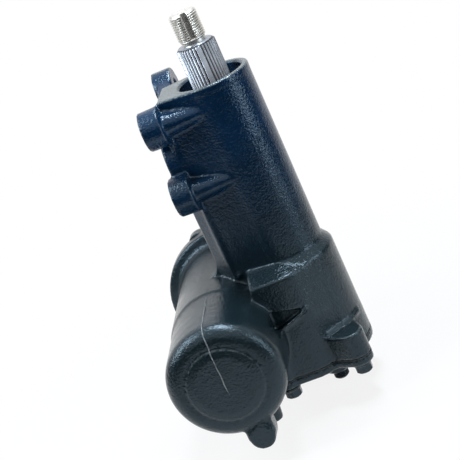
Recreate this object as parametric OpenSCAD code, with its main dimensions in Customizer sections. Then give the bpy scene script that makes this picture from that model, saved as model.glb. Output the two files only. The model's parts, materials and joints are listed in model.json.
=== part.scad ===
// Recirculating-ball power steering gearbox, in millimetres.
// The sector shaft runs along +Z, the worm and power cylinder along Y.
// The origin is the middle of the four frame bolts, on the mounting face.

/* [Output shaft] */
// Outside diameter of the spline that carries the drop arm
spline_d = 34; // [30:0.5:36]
// Number of spline teeth around the shaft
spline_count = 36; // [24:1:48]
// Depth of a spline tooth
spline_depth = 1.4; // [1:0.1:2]
// Height of the spline above the rim of the neck
spline_rise = 30; // [20:1:40]
// Length of the spline
spline_len = 39; // [36:1:44]
// Diameter of the threaded end
thread_d = 24; // [20:1:28]
// Length of the threaded end
thread_len = 24; // [16:1:32]
// Length of the relief between the spline and the thread
relief_len = 4; // [2:0.5:8]
// Width of the key slot along the thread
key_slot_w = 5; // [3:0.5:7]
// Depth of the key slot
key_slot_depth = 3; // [2:0.5:4]
// Diameter of the shaft's bearing journals
journal_d = 40; // [38:0.5:42]

/* [Gear mesh] */
// Distance between the sector shaft's axis and the worm's axis
centre_distance = 72; // [71:0.5:73]
// Module of the rack and sector teeth
tooth_module = 6.5; // [6.2:0.1:6.6]
// Teeth that a full circle of the sector gear would hold
sector_count = 12; // [12:1:12]
// Pressure angle of the teeth
pressure_angle = 25; // [22:1:26]
// Tooth height above the pitch line
addendum = 6; // [5.5:0.1:6.2]
// Tooth height below the pitch line
dedendum = 7.5; // [7.2:0.1:8]
// Face width of the sector teeth
face_w = 44; // [36:1:48]
// Play on each flank of a tooth
flank_play = 0.12; // [0.08:0.02:0.2]
// Swing of the sector to each side
sector_swing = 40; // [34:1:40]
// Room between the turning sector and its chamber
chamber_room = 1.5; // [1:0.5:2.5]

/* [Power cylinder] */
// Bore of the cylinder that the rack piston slides in
cylinder_bore = 82; // [80:1:84]
// Wall of the cylinder
cylinder_wall = 9.5; // [8:0.5:12]
// Depth of the closed end, from the sector axis to the inside of the end wall
closed_depth = 103; // [96:1:112]
// Thickness of the closed end
end_wall = 12; // [10:1:16]
// Outside rounding of the closed end
end_round = 13; // [9:1:14]
// Diameter of the raised disc on the closed end
disc_d = 66; // [50:1:72]
// Height of the raised disc
disc_rise = 2.5; // [1:0.5:4]
// Distance from the sector axis to the valve housing's joint face
joint_depth = 88; // [88:1:96]
// Diameter of the joint flange
flange_d = 126; // [122:1:132]
// Thickness of the joint flange on the cylinder
flange_t = 12; // [10:1:16]
// Length of the rack piston
piston_len = 116; // [114:1:118]
// Gap between the piston and the bore
piston_gap = 0.3; // [0.2:0.05:0.5]

/* [Ball screw] */
// Outside diameter of the worm
worm_d = 27; // [26:0.5:28]
// Lead of the worm, right hand
worm_lead = 13; // [12:0.5:14]
// Diameter of a ball
ball_d = 7; // [6.5:0.25:7]
// Diameter of the circle that the ball centres lie on
ball_circle_d = 29.2; // [28.8:0.2:29.6]
// Turns of the ball track that are filled
ball_turns = 3; // [2:1:3]
// Balls in one turn of the track
balls_per_turn = 12; // [10:1:12]
// Gap between a ball and its track
track_gap = 0.3; // [0.2:0.05:0.4]

/* [Neck and frame pad] */
// Height of the neck's rim above the worm axis
neck_height = 217; // [200:1:230]
// Outside diameter of the neck
neck_d = 68; // [66:1:74]
// Bore of the needle bearings' seats
bearing_seat_d = 50; // [48:1:52]
// Bore of the seal recess at the rim
seal_seat_d = 56; // [54:1:58]
// Depth of the seal recess
seal_seat_depth = 28; // [26:1:32]
// Distance from the sector axis to the mounting face
pad_reach = 64.5; // [62:0.5:70]
// Spacing of the frame bolts along the worm
pad_span = 120; // [110:1:130]
// Spacing of the frame bolts along the neck
pad_rise = 62; // [56:1:70]
// Distance from the sector axis to the near row of frame bolts
pad_near = 25; // [22:1:28]
// Height of the upper row of frame bolts below the rim
pad_drop = 19; // [16:1:24]
// Diameter of the frame bolt holes
pad_hole_d = 14; // [12:0.5:16]
// Depth of the blind holes in the near bosses
pad_hole_depth = 34; // [28:1:38]
// Diameter of a bolt boss on the frame pad
pad_boss_d = 34; // [30:1:38]
// Thickness of the ears on the far side
ear_t = 17.5; // [14:0.5:20]
// Half width of the web that carries the pad
web_half = 22; // [18:1:26]

/* [Sector chamber and cover] */
// Reach of the chamber's round side from the sector axis
block_reach = 40.5; // [39:0.5:44]
// Growth of that reach from the block's top down to the cover
block_flare = 0.5; // [0.5:0.5:3]
// Reach of the block towards the cylinder, above the cover joint
block_left = 35; // [34:1:42]
// Half width of the chamber block along the worm
block_half = 53; // [52:1:58]
// Corner radius of the chamber block
block_round = 26; // [20:1:28]
// Top of the chamber block above the worm axis
block_top = 45; // [42:1:47]
// Depth of the cover's joint face below the worm axis
cover_depth = 45; // [43:1:47]
// Thickness of the side cover
cover_t = 7; // [6:0.5:10]
// Thickness of the cover gasket
gasket_t = 0.8; // [0.5:0.1:1.5]
// Cover bolt rows on the cylinder side, from the sector axis
cover_bolt_left = 37; // [36:0.5:38]
// Near cover bolt on the round side, from the sector axis
cover_bolt_right = 28; // [26:1:30]
// Far cover bolt on the round side, from the sector axis
cover_bolt_far = 18; // [16:1:22]
// Cover bolts' half spacing along the worm
cover_bolt_half = 47; // [47:0.5:50]
// Thread diameter of the cover and valve housing bolts
bolt_d = 10; // [8:1:10]
// Width across flats of the bolt heads
bolt_flats = 14; // [13:0.5:16]
// Height of the bolt heads
bolt_head_h = 10; // [6:0.5:11]
// Diameter of the adjuster screw
adjuster_d = 14; // [12:1:16]
// Width across flats of the adjuster's lock nut
locknut_flats = 22; // [19:1:24]

/* [Valve housing and input] */
// Length of the valve housing from its joint face
valve_len = 84; // [82:1:88]
// Bore that the valve sleeve turns in
valve_bore_d = 48; // [47:0.5:50]
// Outside diameter of the valve housing's barrel
valve_barrel_d = 72; // [68:1:80]
// Thickness of the valve housing's flange
valve_flange_t = 12; // [10:1:16]
// Distance of the valve housing's bolts from the rim of the joint flange
valve_bolt_inset = 9; // [8.5:0.5:10]
// Diameter of the input shaft's journal
input_d = 23; // [20:0.5:24]
// Diameter of the input shaft's serrated end
serration_d = 20; // [18:0.5:22]
// Length of the serrated end
serration_len = 34; // [28:1:44]
// Number of serrations
serration_count = 36; // [30:1:40]
// Thread diameter of the oil ports
port_d = 16; // [14:1:18]
// Spacing of the oil ports along the worm
port_span = 26; // [26:1:30]
// Diameter of the torsion bar
torsion_d = 7; // [6:0.5:8]

/* [Hidden] */
$fn = 64;

// Overlap that lets a cut pass clear of a face
cut = 1;
// Fit of a piece that is pressed into or screwed into its seat
press_gap = 0.02;
// Running fit of a shaft in its bearing or seal
run_gap = 0.06;
// Clearance between pieces that pass each other
pass_gap = 0.3;
// Depth that a straight side cuts into the round it runs out of
side_bite = 0.06;

pitch_r = tooth_module * sector_count / 2;
base_r = pitch_r * cos(pressure_angle);
sector_tip_r = pitch_r + addendum;
sector_root_r = pitch_r - dedendum;
sector_pitch_angle = 360 / sector_count;
rack_pitch = PI * tooth_module;
rack_line = centre_distance - pitch_r;
rack_tip = rack_line + addendum;
rack_root = rack_line - dedendum;

bore_r = cylinder_bore / 2;
cylinder_r = bore_r + cylinder_wall;
piston_r = bore_r - piston_gap;
piston_half = piston_len / 2;
neck_r = neck_d / 2;
journal_r = journal_d / 2;
seat_r = bearing_seat_d / 2;
seal_r = seal_seat_d / 2;
spline_top = neck_height + spline_rise;
spline_base = spline_top - spline_len;
spline_root_r = spline_d / 2 - spline_depth;
thread_base = spline_top + relief_len;
shaft_end = thread_base + thread_len;
seal_floor = neck_height - seal_seat_depth;

pad_far = pad_span - pad_near;
pad_upper = neck_height - pad_drop;
pad_lower = pad_upper - pad_rise;
pad_mid_y = pad_far - pad_span / 2;
pad_mid_z = pad_upper - pad_rise / 2;
web_face = pad_reach - 4.5;
web_chamfer = 12;

chamber_tip = sector_tip_r + chamber_room;
chamber_hub = sector_root_r + chamber_room;
chamber_roof = face_w / 2 + 5;
cover_top = -cover_depth - gasket_t;
cover_bottom = cover_top - cover_t;
shaft_foot = -cover_depth + 2;
cover_edge = 48.5;
cover_nose = 10;
block_corner_x = 10;
block_foot_r = block_reach + block_flare;
collar_h = 7;
shelf_h = 23;
shelf_z = shelf_h - cover_depth;
lip_t = 2.6;
lip_out = 2;
lip_left = [-29, 1.5];
lip_right = [4, 13];
pocket_high = [-29, 21];
pocket_depth = 5;
boss_d = bolt_d + 9;
corner_boss_r = [bolt_d / 2 + 7, boss_d / 2];
bolt_r = bolt_d / 2;
bolt_bore_side = centre_distance - cover_bolt_left - bolt_r;
cover_bolt_grip = cover_depth - sqrt(bore_r * bore_r - bolt_bore_side * bolt_bore_side) - 2;
corner_bolts = [[cover_bolt_right, -cover_bolt_half], [cover_bolt_far, cover_bolt_half]];
edge_bolts = [[-cover_bolt_left, -cover_bolt_half], [-cover_bolt_left, cover_bolt_half]];
cover_bolts = concat(edge_bolts, corner_bolts);
valve_bolt_r = flange_d / 2 - valve_bolt_inset;
valve_bolt_depth = flange_t - 2.5;
valve_bolt_angles = [for (i = [0:3]) 107 + 90 * i];
adjuster_head_z = shaft_foot + 4.5;
adjuster_head_h = 5;
adjuster_head_r = 11.5;
adjuster_tip = cover_bottom - 30;
bearing_h = 28;
snap_ring_t = 1.7;
snap_groove = snap_ring_t + 0.2;
sector_seal_h = 10;
snap_ring_z = seal_floor + sector_seal_h + 0.4;

worm_r = worm_d / 2;
ball_r = ball_d / 2;
ball_circle_r = ball_circle_d / 2;
track_r = ball_r + track_gap;
nut_bore_r = worm_r + 1.8;
ball_start = 8;
ball_phase = 180;
worm_tip = -20;
worm_neck_r = worm_r - 1;
worm_track_end = 78;
valve_end = joint_depth + valve_len;
valve_boss_t = valve_flange_t + 1;
valve_bore_r = valve_bore_d / 2;
torsion_r = torsion_d / 2;
input_r = input_d / 2;
race_seat_r = 31;
race_start = joint_depth + 3;
race_len = 14;
race_end = race_start + race_len;
sleeve_start = race_end + 4;
input_bearing_end = valve_end - 11;
input_bearing_len = 11;
sleeve_end = input_bearing_end - input_bearing_len - 1;
sleeve_len = sleeve_end - sleeve_start;
rotor_r = 15.2;
cross_pin_r = 2;
twist_limit = 5;
rotor_start = sleeve_start + 10;
input_seat_r = 17;
input_seal_r = 19;
serration_start = valve_end + 6;
input_end = serration_start + serration_len + 3;
port_top = 43;
port_mid = sleeve_start + sleeve_len / 2 + 2;
port_len = 16;
bearing_ball_r = 4.2;
bearing_circle_r = 22.5;
bearing_ball_y = race_start + race_len / 2;
piston_land = 42;
ring_groove_y = -52;
ring_groove_w = 5;
plug_r = nut_bore_r + 2;
plug_len = 8;
guide_r = ball_r + 1.4;
guide_seat = nut_bore_r + 9;
guide_top = guide_seat + guide_r + 0.5;
guide_low = ball_start;
guide_high = ball_start + ball_turns * worm_lead;
guide_mid = (guide_low + guide_high) / 2;
guide_pocket = guide_r + 8;
clamp_half = guide_pocket - 0.5;
clamp_screw_y = clamp_half - 3;
clamp_screw_r = 1.5;
strap_t = 1.6;
sleeve_r = valve_bore_r - pass_gap;
sleeve_bore_r = rotor_r + pass_gap;
sleeve_ring_w = 3;
sleeve_ring_step = (sleeve_len - 9) / 3;
ring_places = [for (i = [0:3]) sleeve_ring_w + i * sleeve_ring_step];
worm_pin_y = joint_depth - 16;
input_pin_y = input_end - 12;
drive_pin_z = 5;

// The sector shaft's axis is Z of the shaft frame, with the worm axis at z = 0
module in_row() {
    translate([pad_reach, -pad_mid_y, -pad_mid_z]) children();
}

// Turns a shape that is drawn along Z onto the worm axis, with its foot at y
module on_worm(y = 0) {
    translate([-centre_distance, y, 0]) rotate([-90, 0, 0]) children();
}

module ring(r_out, r_in, h) {
    difference() {
        cylinder(r = r_out, h = h);
        translate([0, 0, -cut]) cylinder(r = r_in, h = h + 2 * cut);
    }
}

module hexagon(flats, h) {
    cylinder(d = flats / cos(30), h = h, $fn = 6);
}

// Flat outline of two circles and the straight sides that just cut into both
module link_outline(p, q, rp, rq) {
    run = q - p;
    turn = atan2(run[1], run[0]);
    spread = acos((rp - rq) / norm(run));
    function rim(c, r, a) = c + (r - side_bite) * [cos(a), sin(a)];
    translate(p) circle(rp);
    translate(q) circle(rq);
    polygon([rim(p, rp, turn + spread), rim(p, rp, turn - spread),
             rim(q, rq, turn - spread), rim(q, rq, turn + spread)]);
}

// Drawn-cup needle bearing: the pressed cup and its ring of needles
module needle_bearing(r_out, r_in, h) {
    wall = (r_out - r_in) * 0.4;
    needle_r = (r_out - wall - r_in) / 2 - 0.05;
    needle_pitch = r_in + needle_r + 0.01;
    needles = floor(2 * PI * needle_pitch / (2 * needle_r) * 0.72);
    ring(r_out - press_gap, r_out - wall, h);
    translate([0, 0, 1]) linear_extrude(h - 2) {
        for (i = [0:needles - 1]) rotate(i * 360 / needles)
            translate([needle_pitch, 0]) circle(needle_r, $fn = 24);
        difference() {
            circle(needle_pitch + needle_r * 0.35);
            circle(needle_pitch - needle_r * 0.35);
        }
    }
}

// Lip seal: a stiff case with a lip that leans on the shaft
module lip_seal(r_out, r_in, h) {
    lip = (r_out - r_in) * 0.55;
    rotate_extrude() polygon([
        [r_out - press_gap, 0], [r_out - press_gap, h], [r_in + lip, h], [r_in + lip * 0.5, h * 0.8],
        [r_in + run_gap, h * 0.75], [r_in + run_gap, h * 0.55], [r_in + lip * 0.6, h * 0.4],
        [r_in + lip, h * 0.3], [r_in + lip, 0]
    ]);
}

// Involute angle past the base circle at radius r, in degrees
function involute(r) = tan(acos(base_r / r)) * 180 / PI - acos(base_r / r);

// Outline of one sector tooth, pointing along +X
module sector_tooth() {
    half = (rack_pitch / 4 - flank_play) / pitch_r * 180 / PI + involute(pitch_r);
    steps = 6;
    radii = [for (i = [0:steps]) base_r + (sector_tip_r - base_r) * i / steps];
    flank = [for (r = radii) r * [cos(half - involute(r)), sin(half - involute(r))]];
    foot = (sector_root_r - 2) * [cos(half), sin(half)];
    mirrored = [for (i = [steps:-1:0]) [flank[i][0], -flank[i][1]]];
    polygon(concat([foot], flank, mirrored, [[foot[0], -foot[1]]]));
}

// Space between two rack teeth, centred on y = 0, from its root to past the tips
module rack_gap() {
    lean = tan(pressure_angle);
    half = rack_pitch / 4 + flank_play;
    reach = addendum + 6;
    polygon([[rack_root, -half + dedendum * lean], [rack_line + reach, -half - reach * lean],
             [rack_line + reach, half + reach * lean], [rack_root, half - dedendum * lean]]);
}

// Serrated rod outline; blank teeth leave out the gaps round the angle zero
module serrated(r, depth, count, blank = 0) {
    step = 360 / count;
    root = r - depth;
    polygon([for (i = [0:count - 1]) each let (a = i * step, gap_r = i < blank ? r : root)
        [gap_r * [cos(a), sin(a)], gap_r * [cos(a + step * 0.2), sin(a + step * 0.2)],
         r * [cos(a + step * 0.42), sin(a + step * 0.42)],
         r * [cos(a + step * 0.78), sin(a + step * 0.78)]]]);
}

// Rod that stands clear of the radius r, with a chamfer at its top that cuts in below it
module chamfered_rod(r, h, chamfer) {
    rotate_extrude() polygon([[0, -cut], [r + 2, -cut], [r + 2, h - chamfer - 2], [r - chamfer, h], [0, h]]);
}

// Outline of the chamber block: round about the sector axis, squared where it meets the cylinder
module block_outline(grow = 0, left = block_left, reach = block_reach) {
    corner_y = block_half - block_round;
    for (s = [-1, 1])
        link_outline([-block_corner_x, s * corner_y], [0, 0], block_round + grow, reach + grow);
    translate([-left - grow, -block_half - grow])
        square([left + grow - block_corner_x, 2 * (block_half + grow)]);
}

// Outline of the cover joint: the block with its four bolt bosses
module cover_outline(grow = 0) {
    block_outline(grow, cover_edge, block_foot_r);
    for (i = [0, 1]) {
        link_outline(corner_bolts[i], [0, (i - 0.5) * block_round],
                     corner_boss_r[i] + grow, block_round + grow);
        translate(edge_bolts[i]) circle(d = boss_d + 2 * grow);
    }
}

// Outline of the chamber: wide where the teeth swing, close round the hub elsewhere
module chamber_outline() {
    swing = sector_pitch_angle + sector_swing + 10;
    far = 2 * chamber_tip;
    circle(chamber_hub);
    intersection() {
        circle(chamber_tip);
        polygon([[0, 0], [-far * cos(swing), far * sin(swing)], [-far, far], [-far, -far],
                 [-far * cos(swing), -far * sin(swing)]]);
    }
}

module cover_bolt_holes(r, z, h) {
    for (p = cover_bolts) translate([p[0], p[1], z]) cylinder(r = r, h = h);
}

module valve_bolt_places(y) {
    on_worm(y) for (a = valve_bolt_angles) rotate(-a) translate([valve_bolt_r, 0, 0]) children();
}

module pad_place(y, z) {
    translate([-pad_reach, y, z]) rotate([0, 90, 0]) children();
}

// Neck section: the round shaft tube and the web that narrows towards the frame pad, beaded at its corners
module neck_outline() {
    flat = web_half - web_chamfer;
    edge_x = web_face - web_chamfer;
    meet_r = neck_r - 0.4;
    meet = atan2(web_half, edge_x) + acos(meet_r / norm([edge_x, web_half]));
    meet_x = -meet_r * cos(meet);
    meet_y = meet_r * sin(meet);
    bead_r = 3;
    bead_sink = 1.5;
    circle(neck_r);
    polygon([[meet_x, -meet_y], [meet_x, meet_y], [-edge_x, web_half], [-web_face, flat],
             [-web_face, -flat], [-edge_x, -web_half]]);
    for (s = [-1, 1]) translate([bead_sink - edge_x, s * (web_half - bead_sink)]) circle(bead_r);
}

// Chamber block, wider round the sector axis towards the cover
module block() {
    height = block_top + cover_depth;
    translate([0, 0, -cover_depth]) {
        linear_extrude(height) block_outline();
        cylinder(r1 = block_foot_r, r2 = block_reach, h = height);
        linear_extrude(shelf_h) cover_outline();
    }
}

// Sloping shoulder between the chamber block and the neck
module collar() {
    foot_r = neck_r + 1;
    corner_y = block_half - block_round;
    top_y = corner_y + block_round * 0.4;
    translate([0, 0, block_top]) {
        cylinder(r1 = block_reach, r2 = foot_r, h = collar_h);
        for (s = [-1, 1]) translate([-block_corner_x, s * corner_y, 0])
            cylinder(r1 = block_round, r2 = block_round * 0.4, h = collar_h);
        translate([-block_left, 0, 0]) rotate([90, 0, 90]) linear_extrude(block_left - block_corner_x)
            polygon([[-block_half, 0], [block_half, 0], [top_y, collar_h], [-top_y, collar_h]]);
    }
}

// Foot of the web, spreading onto the cylinder
module web_foot() {
    foot_half = web_half - web_chamfer;
    foot_spread = 10;
    foot_rise = 14;
    translate([0, foot_half, cylinder_r]) rotate([90, 0, 0]) linear_extrude(2 * foot_half)
        polygon([[2 - web_face, -foot_rise], [-web_face - foot_spread, -foot_rise],
                 [-web_face - foot_spread, 1], [-web_face - foot_spread / 3, foot_rise / 3],
                 [-web_face, foot_rise], [2 - web_face, foot_rise]]);
    translate([2 * web_chamfer - web_face - 6, -web_half, cylinder_r]) sphere(3.5, $fn = 24);
}

// Neck and web, with the web's upper corner sloped down towards the pad
module neck() {
    difference() {
        linear_extrude(neck_height) neck_outline();
        translate([-web_face, 0, neck_height]) rotate([0, 35, 0]) cube([24, 4 * web_half, 16], center = true);
    }
}

// Turned outside of the cylinder, from the raised disc to the joint flange
module cylinder_outside() {
    end_y = -closed_depth - end_wall;
    disc_r = disc_d / 2;
    step_y = -40;
    step_r = cylinder_r + 1.2;
    flange_y = joint_depth - flange_t;
    flange_r = flange_d / 2;
    groove = 1;
    bevel = 7;
    steps = 6;
    on_worm() rotate_extrude($fn = 96) polygon(concat(
        [[0, end_y - disc_rise], [disc_r - bevel, end_y - disc_rise],
         [disc_r - groove, end_y - disc_rise / 2], [disc_r, end_y + groove], [disc_r + groove, end_y]],
        [for (i = [0:steps]) let (a = i * 90 / steps)
            [cylinder_r - end_round * (1 - sin(a)), end_y + end_round * (1 - cos(a))]],
        [[cylinder_r, step_y], [step_r, step_y + 2], [step_r, flange_y - 8], [cylinder_r + 4, flange_y - 3],
         [flange_r - 1, flange_y], [flange_r, flange_y + 1], [flange_r, joint_depth], [0, joint_depth]]));
}

// Bolt boss on the near side of the pad, with the ridge that carries its load into the neck
module pad_boss(z) {
    ridge_start = pad_reach - ear_t;
    ridge_sink = 6.5;
    ridge_tip_r = 2.5;
    pad_place(-pad_near, z) cylinder(d1 = pad_boss_d, d2 = pad_boss_d + 1, h = ear_t);
    translate([-ridge_start, ridge_sink - neck_r, z]) rotate([0, 90, 0])
        cylinder(r1 = pad_boss_d * 0.3, r2 = ridge_tip_r, h = ridge_start + 8);
    translate([-pad_reach + 2, -pad_near, z - pad_boss_d * 0.3])
        cube([pad_hole_depth + 4, pad_near, pad_boss_d * 0.6]);
}

// Ears on the far side of the pad and the arms that join them to the web
module pad_ears() {
    root = [6, pad_mid_z - 8];
    for (z = [pad_upper, pad_lower]) {
        pad_place(pad_far, z) cylinder(d = pad_boss_d + 2, h = ear_t);
        translate([-pad_reach + 4, 0, 0]) rotate([90, 0, 90]) linear_extrude(ear_t - 5.5)
            link_outline([pad_far, z], root, pad_boss_d * 0.42, pad_boss_d * 0.9);
    }
}

// Oil gallery along the underside of the cylinder, ending in a boss at the closed end
module gallery() {
    gallery_r = 8;
    boss_r = 12.5;
    boss_len = 20;
    x = 11 - centre_distance;
    z = -cylinder_r;
    end_y = 1 - closed_depth - end_wall;
    translate([x - 1, end_y + 10, z]) rotate([-90, 0, 0])
        cylinder(r = gallery_r, h = joint_depth - flange_t - end_y - 10 + cut);
    translate([x - 2, end_y, z - 6]) rotate([-90, 0, 0])
        cylinder(r1 = boss_r - 1.5, r2 = boss_r, h = boss_len);
    translate([x - 2 - boss_r, end_y + 2, z - 6]) cube([2 * boss_r, boss_len - 2, 14]);
    translate([x + 4, -66, z - 18]) cylinder(r1 = 7, r2 = 9, h = 22);
}

// Upright prism through the near wall over an outline in x and z
module through_near_wall() {
    rotate([90, 0, 0]) translate([0, 0, block_half / 2]) linear_extrude(block_half) children();
}

// Thin lip that rises along the near wall, under the pocket
module wall_lip() {
    intersection() {
        translate([0, 0, -cover_depth]) linear_extrude(block_top + cover_depth) block_outline(lip_out);
        through_near_wall() polygon([lip_left, lip_right, lip_right - [0, lip_t], lip_left - [0, lip_t]]);
    }
}

// Pocket in the near wall, high beside the cylinder and closing to the right
module wall_pocket() {
    floor_y = pocket_depth - block_half;
    intersection() {
        translate([0, 0, -cover_depth]) linear_extrude(block_top + cover_depth)
            polygon([[lip_left[0], -2 * block_half], [lip_left[0], floor_y], [lip_right[0], floor_y - 2],
                     [lip_right[0], -2 * block_half]]);
        through_near_wall() polygon([lip_left, lip_right, pocket_high]);
    }
}

// Lip along the round wall where the shelf of a corner bolt runs into it
module shelf_lip() {
    lip_r = block_foot_r - block_flare * shelf_h / (block_top + cover_depth) + lip_out;
    intersection() {
        translate([0, 0, shelf_z - 1]) linear_extrude(lip_t + 1) {
            block_outline(lip_out);
            circle(lip_r);
        }
        translate([10, -2 * block_half, shelf_z - 1]) cube([block_half, 2 * block_half - 14, lip_t + 1]);
    }
}

module gear_housing() {
    color("#161c26") in_row() difference() {
        union() {
            cylinder_outside();
            block();
            collar();
            neck();
            web_foot();
            wall_lip();
            shelf_lip();
            for (z = [pad_upper, pad_lower]) pad_boss(z);
            pad_ears();
            gallery();
        }
        on_worm(-closed_depth) cylinder(r = bore_r, h = closed_depth + joint_depth + cut);
        translate([0, 0, -cover_depth - cut]) linear_extrude(chamber_roof + cover_depth + cut)
            chamber_outline();
        translate([0, 0, chamber_roof - cut]) cylinder(r = seat_r, h = neck_height);
        translate([0, 0, seal_floor]) cylinder(r = seal_r, h = neck_height);
        translate([0, 0, snap_ring_z - 0.1]) cylinder(r = seal_r + 1, h = snap_groove);
        translate([0, 0, neck_height - 1.5]) cylinder(r1 = seal_r, r2 = seal_r + 1.6, h = 1.6);
        translate([0, 0, cover_bottom - cover_nose]) linear_extrude(-cover_depth - cover_bottom + cover_nose)
            cover_outline(pass_gap);
        cover_bolt_holes(bolt_r, -cover_depth - cut, cover_bolt_grip + 0.5 + cut);
        valve_bolt_places(joint_depth - valve_bolt_depth) cylinder(r = bolt_r, h = valve_bolt_depth + cut);
        for (z = [pad_upper, pad_lower]) {
            pad_place(-pad_near, z) translate([0, 0, -cut])
                cylinder(d = pad_hole_d, h = pad_hole_depth + cut);
            pad_place(pad_far, z) translate([0, 0, -cut]) cylinder(d = pad_hole_d, h = ear_t + 2 * cut);
        }
        wall_pocket();
    }
}

module side_cover() {
    hub_r = seat_r + 4.5;
    hub_top = -face_w / 2 - 2.5;
    color("#161c26") in_row() difference() {
        union() {
            translate([0, 0, cover_bottom]) linear_extrude(cover_t) cover_outline();
            translate([0, 0, cover_top - cut]) cylinder(r = hub_r, h = hub_top - cover_top + cut);
            translate([0, 0, cover_bottom - cover_nose]) cylinder(r1 = 15, r2 = 20, h = cover_nose + cut);
        }
        translate([0, 0, shaft_foot - pass_gap - 1]) cylinder(r = seat_r, h = hub_top - shaft_foot + 5);
        translate([0, 0, cover_bottom - cover_nose - cut])
            cylinder(d = adjuster_d, h = 2 * (cover_t + cover_nose));
        cover_bolt_holes(bolt_r + pass_gap, cover_bottom - cut, cover_t + 2 * cut);
    }
}

module side_cover_gasket() {
    color("#3b3f45") in_row() translate([0, 0, cover_top]) linear_extrude(gasket_t) difference() {
        cover_outline();
        chamber_outline();
        for (p = cover_bolts) translate(p) circle(bolt_r + pass_gap);
    }
}

// Hexagon bolt with a washer face under its head, head down, thread up
module flange_bolt(grip) {
    translate([0, 0, -bolt_head_h]) hexagon(bolt_flats, bolt_head_h);
    translate([0, 0, -1.8]) cylinder(r = bolt_flats * 0.62, h = 1.8);
    cylinder(r = bolt_r - press_gap, h = grip);
}

module side_cover_bolts() {
    color("#20262e") in_row() for (p = cover_bolts)
        translate([p[0], p[1], cover_bottom]) flange_bolt(cover_t + gasket_t + cover_bolt_grip);
}

module adjuster_screw() {
    tip = adjuster_tip;
    thread_r = adjuster_d / 2 - press_gap;
    socket = 6;
    color("#8d9196") in_row() difference() {
        union() {
            translate([0, 0, tip + 1]) cylinder(r = thread_r, h = adjuster_head_z - tip - 1);
            translate([0, 0, tip]) cylinder(r1 = thread_r - 1, r2 = thread_r, h = 1);
            translate([0, 0, adjuster_head_z]) cylinder(r = adjuster_head_r, h = adjuster_head_h);
        }
        translate([0, 0, tip - cut]) hexagon(socket, socket + cut);
    }
}

module adjuster_locknut() {
    seat = cover_bottom - cover_nose;
    nut_h = 11;
    color("#8d9196") in_row() translate([0, 0, seat - nut_h]) difference() {
        union() {
            intersection() {
                hexagon(locknut_flats, nut_h);
                cylinder(d1 = locknut_flats, d2 = locknut_flats + 2 * nut_h, h = nut_h);
            }
            translate([0, 0, nut_h - 2]) cylinder(d = locknut_flats, h = 2);
        }
        translate([0, 0, -cut]) cylinder(d = adjuster_d, h = nut_h + 2 * cut);
    }
}

module cover_bearing() {
    foot = shaft_foot + 0.5;
    color("#b9bec4") in_row() translate([0, 0, foot])
        needle_bearing(seat_r, journal_r + run_gap, -face_w / 2 - 3 - foot);
}

module neck_bearing_lower() {
    color("#b9bec4") in_row() translate([0, 0, chamber_roof + 3])
        needle_bearing(seat_r, journal_r + run_gap, bearing_h);
}

module neck_bearing_upper() {
    color("#b9bec4") in_row() translate([0, 0, seal_floor - bearing_h - 3])
        needle_bearing(seat_r, journal_r + run_gap, bearing_h);
}

module sector_oil_seal() {
    color("#20201f") in_row() translate([0, 0, seal_floor]) lip_seal(seal_r, journal_r, sector_seal_h);
}

module sector_snap_ring() {
    color("#9aa0a6") in_row() translate([0, 0, snap_ring_z]) difference() {
        ring(seal_r + 0.9, seal_r - 3, snap_ring_t);
        translate([seal_r - 4, -5, -cut]) cube([8, 10, 4]);
    }
}

module sector_dust_seal() {
    color("#20201f") in_row() translate([0, 0, snap_ring_z + snap_groove - 0.1])
        lip_seal(seal_r, journal_r, 5);
}

// Barrel of the valve housing, turned about the worm axis
module valve_barrel() {
    barrel_r = valve_barrel_d / 2;
    nose_r = input_seal_r + 7;
    rim_r = flange_d / 2 - 6;
    flange_end = joint_depth + valve_flange_t;
    on_worm() rotate_extrude($fn = 96) polygon([
        [0, joint_depth], [rim_r, joint_depth], [rim_r, flange_end - 2], [rim_r - 2, flange_end],
        [barrel_r + 6, flange_end], [barrel_r, flange_end + 8], [barrel_r - 1.5, sleeve_end - 4],
        [nose_r, sleeve_end + 8], [nose_r - 1, valve_end - 2], [nose_r - 3, valve_end], [0, valve_end]]);
}

module port_places() {
    for (s = [-1, 1]) translate([-centre_distance, port_mid + s * port_span / 2, 0]) children();
}

module valve_housing() {
    port_r = port_d / 2;
    color("#161c26") in_row() difference() {
        union() {
            valve_barrel();
            valve_bolt_places(joint_depth) cylinder(d = boss_d + 2, h = valve_boss_t);
            port_places() cylinder(r1 = port_r + 7, r2 = port_r + 5, h = port_top);
        }
        on_worm(joint_depth - cut) cylinder(r = race_seat_r, h = race_end - joint_depth + cut);
        on_worm(race_end - cut) cylinder(r = valve_bore_r, h = sleeve_end + 1 - race_end + cut);
        on_worm(sleeve_end) cylinder(r = input_seat_r, h = valve_end - sleeve_end + cut);
        on_worm(input_bearing_end) cylinder(r = input_seal_r, h = valve_end - input_bearing_end + cut);
        on_worm(valve_end - 3.9) cylinder(r = input_seal_r + 0.9, h = snap_groove);
        port_places() translate([0, 0, port_top - port_len]) cylinder(r = port_r, h = port_len + cut);
        port_places() translate([0, 0, valve_bore_r - 3]) cylinder(r = port_r - 3.5, h = port_top);
        valve_bolt_places(joint_depth - cut) cylinder(r = bolt_r + pass_gap, h = valve_boss_t + 2 * cut);
        on_worm(joint_depth - cut) ring(race_seat_r + 6.5, race_seat_r + 3.5, 2.6 + cut);
    }
}

module valve_housing_seal() {
    color("#20201f") in_row() on_worm(joint_depth + 1.25) rotate_extrude()
        translate([race_seat_r + 5, 0]) circle(1.2, $fn = 24);
}

module valve_housing_bolts() {
    color("#20262e") in_row() valve_bolt_places(joint_depth + valve_boss_t)
        rotate([180, 0, 0]) flange_bolt(valve_boss_t + valve_bolt_depth - 0.5);
}

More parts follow.
